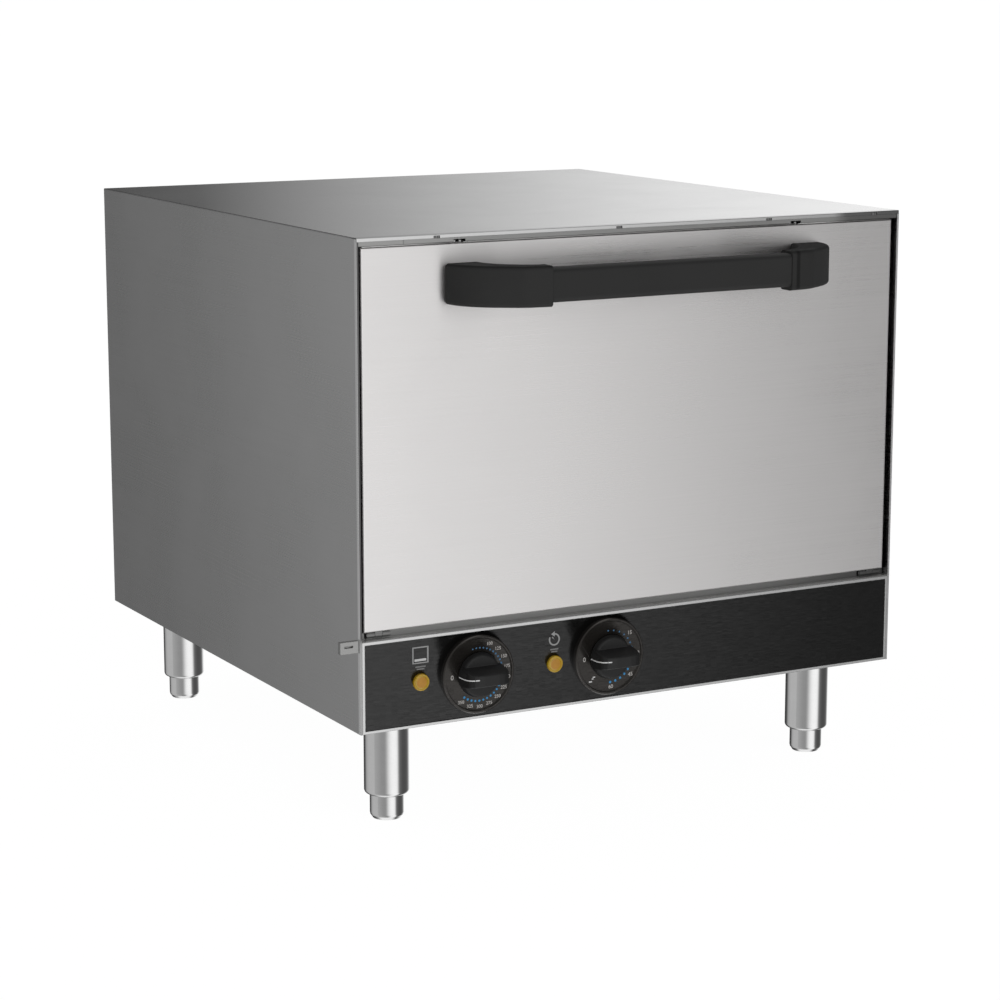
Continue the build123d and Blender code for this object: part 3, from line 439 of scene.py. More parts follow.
MAT["hinge_steel"] = brushed("sill_steel", (0.235, 0.235, 0.231), 0.38, "X", (0, 0, 1), 0.4, 0.03, 0.03, 0.05,
                             shade=sill_shade)
MAT["header"] = brushed("header_steel", (0.38, 0.38, 0.375), 0.36, "X", (0, 0, 1), 0.5, 0.04, 0.03, 0.05,
                        shade=header_shade)
# The bead carries the same painted shade at its right end.
MAT["bead"] = brushed("door_bead_steel", (0.72, 0.715, 0.71), 0.40, "X", (0, 0, 1), 0.4, 0.03, 0.03, 0.04, shade=header_shade)
MAT["fastener_steel"] = polished("fastener_steel", (0.42, 0.42, 0.42), 0.26, 0.06)
MAT["dark_fastener"] = polished("dark_fastener_steel", (0.13, 0.13, 0.13), 0.30, 0.08)
MAT["knob_black"] = plastic("knob_plastic", (0.013, 0.013, 0.013), 0.40, 2200.0, 0.12, 0.3)


def handle_plastic(name, colour, top, crease=False):
    """Matt moulded handle: its upward faces carry a painted tone set by top, painted light above 1 and painted shade
    below 1, and a painted shade line crosses the right cap where a shallow crease is.
    """
    m = Mat(name)
    spark = m.noise(m.coord, 1300.0, 3.0, 0.6)
    touch = m.noise(m.coord, 22.0, 4.0, 0.55)
    tone = m.math("ADD", m.spread(spark, 0.93, 1.07), m.spread(touch, -0.05, 0.05))
    # Painted light and shade on upward faces, by the top gain.
    tone = m.math("MULTIPLY", tone, m.ease(m.facing(2), 0.45, 0.95, 1.0, top))
    # Painted shade line across the right cap.
    if crease:
        x = m.place(0)
        line = m.math("MULTIPLY", m.ease(x, 0.1440, 0.1458), m.ease(x, 0.1500, 0.1482))
        tone = m.math("MULTIPLY", tone, m.math("SUBTRACT", 1.0, m.math("MULTIPLY", line, 0.55)))
    c = m.t.nodes.new("ShaderNodeVectorMath")
    c.operation = "SCALE"
    c.inputs[0].default_value = colour[:3]
    m.link(tone, c.inputs["Scale"])
    m.into("Base Color", c.outputs[0])
    m.into("Roughness", m.math("ADD", m.spread(touch, 0.54, 0.63), m.spread(spark, -0.03, 0.03)))
    # Weaker reflection on upward faces, going with the painted tone above.
    m.into("Specular IOR Level", m.ease(m.facing(2), 0.2, 0.7, 0.14, 0.05))
    m.into("Normal", m.bump(spark, 0.3, 0.00004, m.rounded(0.0005)))
    return m.m


# Lit and shaded copies of one plastic: painted shade on the caps' tops (0.7), painted light on the bar's top (2.0).
MAT["handle_black"] = handle_plastic("handle_plastic", (0.0290, 0.0290, 0.0288), 0.7, crease=True)
MAT["handle_bar"] = handle_plastic("handle_bar_plastic", (0.0290, 0.0290, 0.0288), 2.0)
MAT["control_case"] = plastic("control_case_plastic", (0.06, 0.06, 0.06), 0.40, 1600.0)
MAT["terminal_plastic"] = plastic("terminal_plastic", (0.62, 0.58, 0.46), 0.45, 1600.0, 0.2, 0.5, 0.08)
MAT["gland_plastic"] = plastic("gland_plastic", (0.03, 0.03, 0.03), 0.45, 1600.0)
MAT["wire_sheath"] = plastic("wire_sheath", (0.22, 0.03, 0.025), 0.45, 2500.0, 0.15, 0.5, 0.1)


def fascia():
    """Dark overlay with a fine level grain, which mirrors what lies below it and smears it upwards."""
    m = Mat("fascia_overlay")
    rub = m.noise(m.mapping((9, 1500, 1500)), 1.0, 3.0, 0.6)
    clouds = m.noise(m.coord, 11.0, 4.0, 0.6)
    m.into("Base Color", m.mix(m.spread(clouds, 0.0, 1.0), (0.0016, 0.0016, 0.0016, 1), (0.0022, 0.0022, 0.0021, 1)))
    m.into("Roughness", m.math("ADD", m.spread(rub, 0.155, 0.185), m.spread(clouds, -0.01, 0.01)))
    # Reflection strength falls from left to right across the overlay: a painted light falloff.
    m.into("Specular IOR Level", m.ease(m.place(0), 0.02, 0.30, 0.68, 0.42))
    m.into("Normal", m.grooved(0.30, 0.50))
    return m.m


MAT["fascia_black"] = fascia()


def dial_face():
    """Moulded dial with the same level grain, a little warmer than the overlay."""
    m = Mat("dial_plastic")
    spark = m.noise(m.coord, 2200.0, 3.0, 0.6)
    touch = m.noise(m.coord, 30.0, 4.0, 0.55)
    m.into("Base Color", m.mix(m.spread(spark, 0.0, 1.0), (0.0098, 0.0087, 0.0077, 1), (0.0130, 0.0118, 0.0106, 1)))
    m.into("Roughness", m.math("ADD", m.spread(touch, 0.20, 0.26), m.spread(spark, -0.02, 0.02)))
    m.set(Specular_IOR_Level=0.66)
    m.bsdf.inputs["Specular Tint"].default_value = (1.0, 0.95, 0.90, 1)
    m.into("Normal", m.grooved(0.28, 0.52))
    return m.m


MAT["dial_black"] = dial_face()


def stone():
    m = Mat("cordierite")
    body = m.noise(m.coord, 26.0, 6.0, 0.6)
    specks = m.voronoi(m.coord, 420.0)
    pits = m.noise(m.coord, 900.0, 3.0, 0.7)
    col = m.ramp(body, [(0.30, rgb(176, 160, 132)), (0.55, rgb(196, 181, 152)), (0.75, rgb(207, 195, 168))])
    dark = m.ramp(specks, [(0.0, 1.0), (0.10, 1.0), (0.16, 0.0)])
    col = m.mix(m.math("MULTIPLY", dark, m.spread(pits, 0.0, 0.55)), col, rgb(120, 98, 72))
    m.into("Base Color", col)
    m.into("Roughness", m.spread(pits, 0.78, 0.95))
    m.into("Normal", m.bump(m.math("ADD", pits, m.math("MULTIPLY", specks, 0.5)), 0.5, 0.0002, m.rounded(0.001)))
    return m.m


MAT["cordierite"] = stone()


def element_metal():
    m = Mat("element_sheath_metal")
    heat = m.noise(m.coord, 14.0, 5.0, 0.6)
    fine = m.noise(m.coord, 700.0, 3.0, 0.6)
    col = m.ramp(heat, [(0.30, rgb(52, 50, 52)), (0.5, rgb(74, 68, 64)), (0.68, rgb(96, 84, 74))])
    m.into("Base Color", col)
    m.into("Roughness", m.spread(fine, 0.42, 0.62))
    m.set(Metallic=0.75)
    m.into("Normal", m.bump(fine, 0.3, 0.00008))
    return m.m


MAT["element_sheath"] = element_metal()


def wool():
    m = Mat("mineral_wool")
    fibre = m.noise(m.mapping((900, 120, 900)), 1.0, 5.0, 0.7, 1.5)
    clump = m.noise(m.coord, 45.0, 5.0, 0.6)
    m.into("Base Color", m.ramp(m.math("ADD", m.math("MULTIPLY", fibre, 0.6), m.math("MULTIPLY", clump, 0.4)),
                                [(0.35, rgb(150, 140, 96)), (0.65, rgb(205, 196, 150))]))
    m.into("Roughness", m.spread(fibre, 0.85, 1.0))
    m.set(Sheen_Weight=0.3)
    m.into("Normal", m.bump(fibre, 0.8, 0.001))
    return m.m


MAT["mineral_wool"] = wool()


def rope():
    """Glass-fibre rope: grey yarns with paler fibres standing out."""
    m = Mat("gasket_rope")
    fibre = m.noise(m.mapping((1, 1, 1)), 2600.0, 4.0, 0.7)
    clump = m.noise(m.coord, 70.0, 4.0, 0.6)
    m.into("Base Color", m.mix(m.spread(fibre, 0.0, 1.0), m.ramp(clump, [(0.35, rgb(96, 93, 88)), (0.65, rgb(128, 124, 116))]),
                               rgb(172, 168, 158)))
    m.into("Roughness", m.spread(fibre, 0.8, 0.98))
    m.set(Sheen_Weight=0.35)
    m.into("Normal", m.bump(fibre, 0.5, 0.0003))
    return m.m


MAT["gasket_rope"] = rope()


def amber(name, deep):
    """Tinted lens: light amber body with faint moulding swirl."""
    m = Mat(name)
    swirl = m.noise(m.coord, 260.0, 3.0, 0.5, 0.6)
    if deep:
        m.into("Base Color", m.ramp(swirl, [(0.3, rgb(170, 119, 28)), (0.7, rgb(181, 130, 37))]))
        m.into("Roughness", m.spread(swirl, 0.30, 0.42))
    else:
        m.into("Base Color", m.ramp(swirl, [(0.3, rgb(174, 138, 18)), (0.7, rgb(183, 149, 28))]))
        m.into("Roughness", m.spread(swirl, 0.16, 0.26))
        m.set(Subsurface_Weight=0.15, Coat_Weight=0.4)
        m.bsdf.inputs["Subsurface Radius"].default_value = (0.003, 0.0015, 0.0004)
        m.bsdf.inputs["Subsurface Scale"].default_value = 1.0
    m.into("Normal", m.bump(swirl, 0.05, 0.0001))
    return m.m


MAT["amber_lens"] = amber("amber_lens", False)
MAT["amber_core"] = amber("amber_lens_core", True)
MAT["ink_grey"] = printed("ink_grey", rgb(184, 181, 178))
MAT["ink_caption"] = printed("ink_caption", rgb(118, 118, 118))
MAT["ink_icon"] = printed("ink_icon", rgb(150, 150, 150))
MAT["ink_icon_bright"] = printed("ink_icon_bright", rgb(196, 196, 196))
MAT["ink_white"] = printed("ink_white", rgb(225, 225, 225))
MAT["ink_blue"] = printed("ink_blue", rgb(52, 138, 192))
MAT["ink_blue_pale"] = printed("ink_blue_pale", rgb(66, 112, 150))

SLOT = {s["node"]: s["material_slot"] for s in frame["record"]["subparts"]}
SPECIAL = {"left_side_panel": "casing_side", "right_side_panel": "casing_side", "top_panel": "casing_top",
           "back_panel": "casing_back", "side_keeper_tab": "tab", "front_frame": "header",
           "top_lip_screws": "dark_fastener", "door_top_strikes": "dark_fastener", "chassis_deck": "deck_edge",
           "handle_bar": "handle_bar"}


def give(obj, key):
    obj.data.materials.clear()
    obj.data.materials.append(MAT[key])


for node_name, node in NODES.items():
    slot_name = SLOT[node_name]
    key = SPECIAL.get(node_name) or {"stainless_door": "door"}.get(slot_name, slot_name)
    give(node, key)


# ------------------------------------------------------------- mesh shorthand
def add(name, bm, key, body="cabinet", smooth=35.0):
    mesh = bpy.data.meshes.new(name)
    bmesh.ops.recalc_face_normals(bm, faces=bm.faces[:])
    bm.to_mesh(mesh)
    bm.free()
    obj = bpy.data.objects.new(name, mesh)
    bpy.context.scene.collection.objects.link(obj)
    mesh.materials.append(MAT[key])
    if smooth:
        mesh.polygons.foreach_set("use_smooth", [True] * len(mesh.polygons))
        mesh.set_sharp_from_angle(angle=math.radians(smooth))
    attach(obj, body)
    return obj


def turned(bm, x, z, profile, segs=96):
    """Closed solid turned about the depth axis through x, z; profile is (radius, depth) in mm, from axis to axis."""
    rings = []
    for r, d in profile:
        if r <= 1e-6:
            rings.append([bm.verts.new(B(x, d, z))])
        else:
            rings.append([bm.verts.new(B(x + r * math.cos(2 * math.pi * i / segs), d,
                                         z + r * math.sin(2 * math.pi * i / segs))) for i in range(segs)])
    skin(bm, rings, segs)


def turned_z(bm, x, d, profile, segs=96):
    rings = []
    for r, z in profile:
        if r <= 1e-6:
            rings.append([bm.verts.new(B(x, d, z))])
        else:
            rings.append([bm.verts.new(B(x + r * math.cos(2 * math.pi * i / segs),
                                         d + r * math.sin(2 * math.pi * i / segs), z)) for i in range(segs)])
    skin(bm, rings, segs)


def skin(bm, rings, segs, close=False):
    pairs = list(zip(rings, rings[1:]))
    if close:
        pairs.append((rings[-1], rings[0]))
    for a, b in pairs:
        for i in range(segs):
            j = (i + 1) % segs
            if len(a) == 1 and len(b) == 1:
                continue
            if len(a) == 1:
                bm.faces.new((a[0], b[i], b[j]))
            elif len(b) == 1:
                bm.faces.new((a[i], a[j], b[0]))
            else:
                bm.faces.new((a[i], a[j], b[j], b[i]))


def slab(bm, x0, x1, d0, d1, z0, z1, bevel=0.0, segments=2):
    vs = [bm.verts.new(B(x, d, z)) for x in (x0, x1) for d in (d0, d1) for z in (z0, z1)]
    fs = [bm.faces.new([vs[i] for i in f]) for f in
          ((0, 1, 3, 2), (4, 6, 7, 5), (0, 4, 5, 1), (2, 3, 7, 6), (0, 2, 6, 4), (1, 5, 7, 3))]
    if bevel:
        es = list({e for f in fs for e in f.edges})
        bmesh.ops.bevel(bm, geom=es, offset=bevel / 1000, segments=segments, affect="EDGES", profile=0.5)
    return vs


def prism(bm, outline, d0, d1):
    """Flat shape standing off a front-facing surface: outline is (x, z) in mm."""
    a = [bm.verts.new(B(x, d0, z)) for x, z in outline]
    b = [bm.verts.new(B(x, d1, z)) for x, z in outline]
    bm.faces.new(a)
    bm.faces.new(list(reversed(b)))
    n = len(outline)
    for i in range(n):
        j = (i + 1) % n
        bm.faces.new((a[i], a[j], b[j], b[i]))


def ring_print(bm, x, z, r0, r1, a0, a1, d0, d1, steps=24):
    """Printed arc between two radii, from angle a0 to a1 in degrees."""
    full = abs(a1 - a0) >= 359.9
    n = steps
    pts = [math.radians(a0 + (a1 - a0) * i / n) for i in range(n + (0 if full else 1))]
    cols = []
    for a in pts:
        c, s = math.cos(a), math.sin(a)
        cols.append([bm.verts.new(B(x + r * c, d, z + r * s)) for r, d in ((r0, d0), (r1, d0), (r1, d1), (r0, d1))])
    m = len(cols)
    for i in range(m if full else m - 1):
        a, b = cols[i], cols[(i + 1) % m]
        for k in range(4):
            bm.faces.new((a[k], a[(k + 1) % 4], b[(k + 1) % 4], b[k]))
    if not full:
        bm.faces.new(cols[0])
        bm.faces.new(list(reversed(cols[-1])))


def numerals(bm, text, x, z, size, d0, thick):
    """Upright numerals standing off a front-facing surface, centred on x, z."""
    curve = bpy.data.curves.new("numerals", "FONT")
    curve.body = text
    curve.size = size / 1000
    curve.align_x = "CENTER"
    curve.align_y = "CENTER"
    curve.extrude = thick / 2000
    curve.resolution_u = 3
    curve.offset = size * 0.000014
    tmp = bpy.data.objects.new("numerals_tmp", curve)
    bpy.context.scene.collection.objects.link(tmp)
    bpy.context.view_layer.update()
    mesh = bpy.data.meshes.new_from_object(tmp.evaluated_get(bpy.context.evaluated_depsgraph_get()))
    xs = [v.co.x for v in mesh.vertices]
    ys = [v.co.y for v in mesh.vertices]
    cx, cy = (min(xs) + max(xs)) / 2, (min(ys) + max(ys)) / 2
    centre = B(x, d0 - thick / 2, z)
    place = Matrix.Translation(centre) @ Matrix.Rotation(math.radians(90), 4, "X") @ Matrix.Translation((-cx, -cy, 0))
    mesh.transform(place)
    bm.from_mesh(mesh)
    bpy.data.objects.remove(tmp)
    bpy.data.curves.remove(curve)
    bpy.data.meshes.remove(mesh)


# ----------------------------------------------------------- dials and prints
FACE_D, INK = -4.0, 0.06
NUM_R, DOT_R = 30.9, 25.5


def polar(cx, r, a):
    return cx + r * math.cos(math.radians(a)), DIAL_Z + r * math.sin(math.radians(a))


def dial_prints(prefix, cx, labels, dots_pale, dots_bright):
    bm = bmesh.new()
    for text, a, r in labels:
        x, z = polar(cx, r, a)
        numerals(bm, text, x, z, {1: 6.4, 2: 5.2}.get(len(text), 4.5), FACE_D, INK)
    add(prefix + "_dial_numbers", bm, "ink_grey")
    for kind, dots in (("pale", dots_pale), ("bright", dots_bright)):
        bm = bmesh.new()
        for a, size in dots:
            x, z = polar(cx, DOT_R, a)
            turned(bm, x, z, [(0, FACE_D), (size, FACE_D), (size, FACE_D - INK), (0, FACE_D - INK)], 14)
        add(prefix + "_dial_marks_" + kind, bm, "ink_blue" if kind == "bright" else "ink_blue_pale", smooth=0)


temp_labels = [("0", 180, 27.9)] + [(str(100 + 25 * i), 67 - 19.4 * i, NUM_R) for i in range(11)]
dial_prints("temperature", TEMP_X, temp_labels,
            [(104 - 8.5 * i, 0.75 + 0.03 * i) for i in range(12)],
            [(-22 - 9.5 * i, 0.95 + 0.02 * i) for i in range(12)])
timer_labels = [("0", 180, 27.9), ("15", 43, NUM_R), ("30", 0, NUM_R), ("45", -41, NUM_R), ("60", -87, 29.9)]
dial_prints("timer", TIMER_X, timer_labels,
            [(94, 0.8), (80, 0.8), (65, 0.85), (51, 0.9), (38, 0.95), (26, 1.0), (15, 1.05)],
            [(-36, 1.15), (-49, 1.2), (-62, 1.2), (-75, 1.2), (-88, 1.25)])

# Plain mark for the timer's stay-on position: two small bars and a dash.
bm = bmesh.new()
for r, w, h in ((25.2, 2.6, 1.0), (27.4, 2.0, 0.9), (31.0, 3.4, 1.1)):
    x, z = polar(TIMER_X, r, -133)
    prism(bm, [(x - w / 2, z - h / 2), (x + w / 2, z - h / 2), (x + w / 2, z + h / 2), (x - w / 2, z + h / 2)],
          FACE_D, FACE_D - INK)
add("timer_dial_hold_mark", bm, "ink_white", smooth=0)

# Printed symbols over the lamps: an oven deck in a frame, and a clock.
FASCIA_D = 0.5
bm = bmesh.new()
cx, cz, hw, hh, t = HEAT_LAMP_X, 68.7, 8.4, 7.95, 1.2


def rect(bm, x0, x1, z0, z1):
    prism(bm, [(x0, z0), (x1, z0), (x1, z1), (x0, z1)], FASCIA_D, FASCIA_D - INK)


rect(bm, cx - hw, cx + hw, cz + hh - t, cz + hh)
rect(bm, cx - hw, cx - hw + t, cz - hh, cz + hh - t)
rect(bm, cx + hw - t - 0.3, cx + hw, cz - hh, cz + hh - t)
rect(bm, cx - hw + t, cx + hw - t - 0.3, cz - hh, cz - hh + 1.0)
add("heat_symbol", bm, "ink_icon", smooth=0)
bm = bmesh.new()
rect(bm, cx - hw + t + 1.0, cx + hw - t - 1.3, cz - hh + 2.2, cz - hh + 4.4)
add("heat_symbol_deck", bm, "ink_icon_bright", smooth=0)
bm = bmesh.new()
rect(bm, cx - 5.3, cx + 5.3, 56.9, 58.3)
rect(bm, cx - 4.0, cx + 4.0, 54.7, 56.0)
add("heat_caption_bars", bm, "ink_caption", smooth=0)

bm = bmesh.new()
cx, cz = TIMER_LAMP_X, 66.7
ring_print(bm, cx, cz, 4.55, 6.05, -208, 88, FASCIA_D, FASCIA_D - INK, 40)
prism(bm, [(cx + 0.4, cz + 8.0), (cx + 0.4, cz + 2.8), (cx - 3.4, cz + 5.4)], FASCIA_D, FASCIA_D - INK - 0.01)
prism(bm, [(cx - 0.45, cz + 0.45), (cx + 0.45, cz - 0.45), (cx - 1.9, cz + 2.9), (cx - 2.8, cz + 2.0)][::-1], FASCIA_D, FASCIA_D - INK)
add("timer_symbol", bm, "ink_icon", smooth=0)
bm = bmesh.new()
rect(bm, cx - 4.4, cx + 4.4, 56.4, 57.8)
rect(bm, cx - 3.3, cx + 3.3, 54.2, 55.5)
add("timer_caption_bars", bm, "ink_caption", smooth=0)


# --------------------------------------------------------------------- knobs
def finished(obj, voxel=0.00032, smooth_steps=6, ratio=0.35):
    """Welds the parts of a moulding into one skin with soft inside corners."""
    rm = obj.modifiers.new("weld", "REMESH")
    rm.mode = "VOXEL"
    rm.voxel_size = voxel
    sm = obj.modifiers.new("soften", "SMOOTH")
    sm.iterations = smooth_steps
    sm.factor = 0.5
    dc = obj.modifiers.new("lighten", "DECIMATE")
    dc.ratio = ratio
    bpy.context.view_layer.update()
    dg = bpy.context.evaluated_depsgraph_get()
    mesh = bpy.data.meshes.new_from_object(obj.evaluated_get(dg))
    obj.modifiers.clear()
    old = obj.data
    obj.data = mesh
    bpy.data.meshes.remove(old)
    mesh.name = obj.name
    mesh.polygons.foreach_set("use_smooth", [True] * len(mesh.polygons))
    return obj


# Plan of half a grip, from its foot on the dial side to its front: (half length, depth).
GRIP_PLAN = [(21.3, -8.0), (21.3, -14.0), (21.3, -20.0), (20.8, -24.0), (19.6, -27.0), (17.2, -29.2), (13.5, -30.4), (8.0, -30.9)]


def grip_half(d):
    """Half thickness of the grip at a depth: it thins towards its front."""
    return 9.4 + (-11.0 - d) / 20.0 * (5.5 - 9.4)


def knob(prefix, cx, body, node):
    bm = bmesh.new()
    turned(bm, cx, DIAL_Z, [(0, -4.5), (21.4, -4.5), (21.5, -5.6), (21.1, -6.4), (20.7, -8.2), (20.1, -10.0),
                            (19.3, -10.9), (18.2, -11.15), (0, -11.2)], 160)
    outline = [(-x, d) for x, d in GRIP_PLAN] + [(x, d) for x, d in reversed(GRIP_PLAN)]
    rows = []
    for k, inset in ((-1.0, 1.0), (-0.94, 0.4), (-0.84, 0.0), (0.84, 0.0), (0.94, 0.4), (1.0, 1.0)):
        row = []
        for x, d in outline:
            s = 1 - inset / 26.0
            row.append(bm.verts.new(B(cx + x * s, d + inset * 0.8 if d < -26 else d, DIAL_Z + k * grip_half(d))))
        rows.append(row)
    n = len(outline)
    for a, b in zip(rows, rows[1:]):
        for i in range(n):
            j = (i + 1) % n
            bm.faces.new((a[i], a[j], b[j], b[i]))
    bm.faces.new(rows[0])
    bm.faces.new(list(reversed(rows[-1])))
    shell = add(prefix + "_knob_moulding", bm, "knob_black", body)
    finished(shell)
    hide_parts(node)

    # White line laid into the grip's end and the turn of its front.
    bm = bmesh.new()
    path = [(21.45, -5.3), (21.3, -8.2), (21.25, -11.6), (21.3, -16.0), (21.25, -20.0), (20.75, -24.0), (19.5, -26.9), (17.3, -28.95), (14.9, -29.95), (12.9, -30.35)]
    line = [Vector((cx - x, d)) for x, d in path]
    skin_tree = BVHTree.FromPolygons([v.co for v in shell.data.vertices], [tuple(f.vertices) for f in shell.data.polygons])
    prev = None
    w = 0.52
    for i, p in enumerate(line):
        t = (line[min(i + 1, len(line) - 1)] - line[max(i - 1, 0)]).normalized()
        nrm = Vector((t.y, -t.x))
        if nrm.x > 0:
            nrm = -nrm
        far = B(p.x + nrm.x * 8, p.y + nrm.y * 8, DIAL_Z)
        hit = skin_tree.ray_cast(far, Vector((-nrm.x, -nrm.y, 0.0)))[0]
        if hit is not None:
            p = Vector((hit.x * 1000 - XC, hit.y * 1000 - YF))
        top = p + nrm * 0.07
        bottom = p - nrm * 0.6
        lift = 0.11 * max(0.0, -16.0 - line[i].y)
        cur = [bm.verts.new(B(q.x, q.y, DIAL_Z + lift + s * w)) for q, s in ((bottom, -1), (top, -1), (top, 1), (bottom, 1))]
        if prev:
            for k in range(4):
                bm.faces.new((prev[k], prev[(k + 1) % 4], cur[(k + 1) % 4], cur[k]))
        else:
            bm.faces.new(cur)
        prev = cur
    bm.faces.new(list(reversed(prev)))
    add(prefix + "_knob_pointer", bm, "ink_white", body)


knob("temperature", TEMP_X, "temperature_control", "temperature_knob")
knob("timer", TIMER_X, "timer_control", "timer_knob")

# --------------------------------------------------------------------- lamps
bm = bmesh.new()
for lx in (HEAT_LAMP_X, TIMER_LAMP_X):
    turned(bm, lx, LAMP_Z, [(0, 3.9), (6.9, 3.9), (6.9, 0.5), (8.15, 0.5), (8.15, -1.2), (7.95, -1.9), (7.4, -2.3),
                            (6.9, -2.3), (6.4, -1.9), (5.9, -2.1), (4.0, -2.4), (0, -2.5)], 64)
lens = add("indicator_lenses_moulded", bm, "amber_lens")
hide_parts("indicator_lamp_lenses")
bm = bmesh.new()
for lx in (HEAT_LAMP_X, TIMER_LAMP_X):
    turned(bm, lx, LAMP_Z, [(0, -2.3), (5.2, -2.0), (5.2, -2.25), (3.5, -2.5), (0, -2.6)], 48)
add("indicator_lens_cores", bm, "amber_core")

# ------------------------------------------------------------- lip fasteners
LIP_Z = 454.7
bm = bmesh.new()
ribs = bmesh.new()
for sx in (-217.0, -25.0, 143.0, 267.0):
    slab(bm, sx - 3.1, sx + 3.1, -0.36, 0.2, LIP_Z - 1.25, LIP_Z + 1.15, 0.12, 2)
    turned(bm, sx, LIP_Z, [(0, 0.1), (0.88, 0.1), (0.88, 2.8), (0.6, 3.0), (0, 3.0)], 20)
    for rx in (-0.55, 1.35):
        slab(ribs, sx + rx - 0.32, sx + rx + 0.32, -0.4, -0.3, LIP_Z - 1.05, LIP_Z + 0.95, 0.04, 1)
plates = add("lip_fasteners_detailed", bm, "dark_fastener")
rib_obj = add("lip_fastener_ribs", ribs, "fastener_steel")
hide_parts("top_lip_screws")
# Small lighter faces on the door's strikes.
bm = bmesh.new()
for sx in (-193.0, 175.0):
    for rx in (-3.0, 3.0):
        slab(bm, sx + rx - 1.1, sx + rx + 1.1, 6.42, 6.52, 448.5, 450.2)
add("strike_light_faces", bm, "fastener_steel", "door")

# Rolled bead along the door's top edge, under the header.
bm = bmesh.new()
for x0, x1 in ((-290.0, -198.4), (-187.6, 169.6), (180.4, 290.0)):
    slab(bm, x0, x1, 4.9, 6.3, 447.9, 448.95, 0.35, 3)
add("door_top_bead", bm, "bead", "door")

# ----------------------------------------------------------- back panel screws
BACK_SCREWS = [(sx, sz) for sx in (-288.5, 288.5) for sz in (25, 130, 240, 350, 435)]
bm = bmesh.new()
D_BACK = 627.0
for sx, sz in BACK_SCREWS:
    turned(bm, sx, sz, [(0, D_BACK - 8), (1.3, D_BACK - 8), (1.72, D_BACK - 7.2), (1.72, D_BACK + 0.02), (3.58, D_BACK + 0.02),
                        (3.58, D_BACK + 0.5), (3.2, D_BACK + 1.2), (2.4, D_BACK + 1.65), (1.9, D_BACK + 1.75), (1.75, D_BACK + 1.3),
                        (0, D_BACK + 1.2)], 32)
screws = add("back_panel_screws_detailed", bm, "fastener_steel")
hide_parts("back_panel_screws")
# Black crosses on the screw heads: painted shade standing in for the cross recesses.
bm = bmesh.new()
for sx, sz in BACK_SCREWS:
    for w, h in ((1.6, 0.42), (0.42, 1.6)):
        slab(bm, sx - w, sx + w, D_BACK + 1.1, D_BACK + 1.42, sz - h, sz + h)
add("back_screw_crosses", bm, "knob_black", smooth=0)


# ----------------------------------------------------------------- rope gasket
def gasket():
    """Braided rope in one closed loop on the mouth frame, flattened where it is held."""
    hw, z0, z1, cr = 256.0, 106.0, 420.0, 6.0
    d_mid, ry, rz = 38.55, 3.35, 3.9
    corners = [(hw - cr, z0 + cr, -90), (hw - cr, z1 - cr, 0), (-hw + cr, z1 - cr, 90), (-hw + cr, z0 + cr, 180)]
    pts = []
    for cx, cz, a0 in corners:
        for i in range(7):
            a = math.radians(a0 + 90 * i / 6)
            pts.append((cx + cr * math.cos(a), cz + cr * math.sin(a)))
    pts.append(pts[0])
    dense = []
    step = 1.1
    for (x0, y0), (x1, y1) in zip(pts, pts[1:]):
        L = math.hypot(x1 - x0, y1 - y0)
        n = max(1, round(L / step))
        dense += [(x0 + (x1 - x0) * i / n, y0 + (y1 - y0) * i / n) for i in range(n)]
    n = len(dense)
    segs = 20
    s = [0.0]
    for i in range(n):
        x0, y0 = dense[i]
        x1, y1 = dense[(i + 1) % n]
        s.append(s[-1] + math.hypot(x1 - x0, y1 - y0))
    turns = round(s[-1] / 9.0)
    bm = bmesh.new()
    rings = []
    for i in range(n):
        xa, ya = dense[i - 1]
        xb, yb = dense[(i + 1) % n]
        tx, ty = xb - xa, yb - ya
        L = math.hypot(tx, ty)
        nx, nz = ty / L, -tx / L
        ph = 2 * math.pi * turns * s[i] / s[-1]
        ring = []
        for k in range(segs):
            a = 2 * math.pi * k / segs
            weave = math.sin(4 * a + ph) * math.sin(4 * a - ph)
            q = 1 + 0.045 * weave - 0.045
            u, v = math.cos(a) * rz * q, math.sin(a) * ry * q
            ring.append(bm.verts.new(B(dense[i][0] + nx * u, d_mid + v, dense[i][1] + nz * u)))
        rings.append(ring)
    skin(bm, rings, segs, close=True)
    obj = add("rope_gasket_braided", bm, "gasket_rope", smooth=180)
    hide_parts("door_gasket")


gasket()

# --------------------------------------------------------------- studio world
world = bpy.data.worlds.new("studio")
bpy.context.scene.world = world
world.use_nodes = True
wt = world.node_tree
wt.nodes.clear()


def wnode(kind, **kw):
    n = wt.nodes.new(kind)
    for k, v in kw.items():
        setattr(n, k, v)
    return n


# Brightness round the horizon, as (degrees anticlockwise from +X, value): a broad
# soft panel in front, one behind to the right, and darker room between them.
AROUND = [(-180, 0.44), (-160, 0.38), (-142, 0.33), (-127, 0.32), (-119, 0.42), (-111, 0.66), (-104, 0.86),
          (-96, 1.02), (-88, 1.10), (-76, 1.12), (-67, 1.08), (-61.5, 0.94), (-58, 0.74), (-55, 0.50), (-51.5, 0.28),
          (-44, 0.14), (-28, 0.09), (-8, 0.09), (10, 0.14), (18, 0.28), (28, 0.60), (44, 1.04), (53, 1.06),
          (58, 0.865), (63, 0.47), (67.5, 0.13), (72, 0.04), (92, 0.05), (105, 0.10), (114, 0.26), (122, 0.42), (142, 0.52)]
tc = wnode("ShaderNodeTexCoord")
sep = wnode("ShaderNodeSeparateXYZ")
wt.links.new(tc.outputs["Generated"], sep.inputs[0])
at = wnode("ShaderNodeMath", operation="ARCTAN2")
wt.links.new(sep.outputs["Y"], at.inputs[0])
wt.links.new(sep.outputs["X"], at.inputs[1])
mr = wnode("ShaderNodeMapRange")
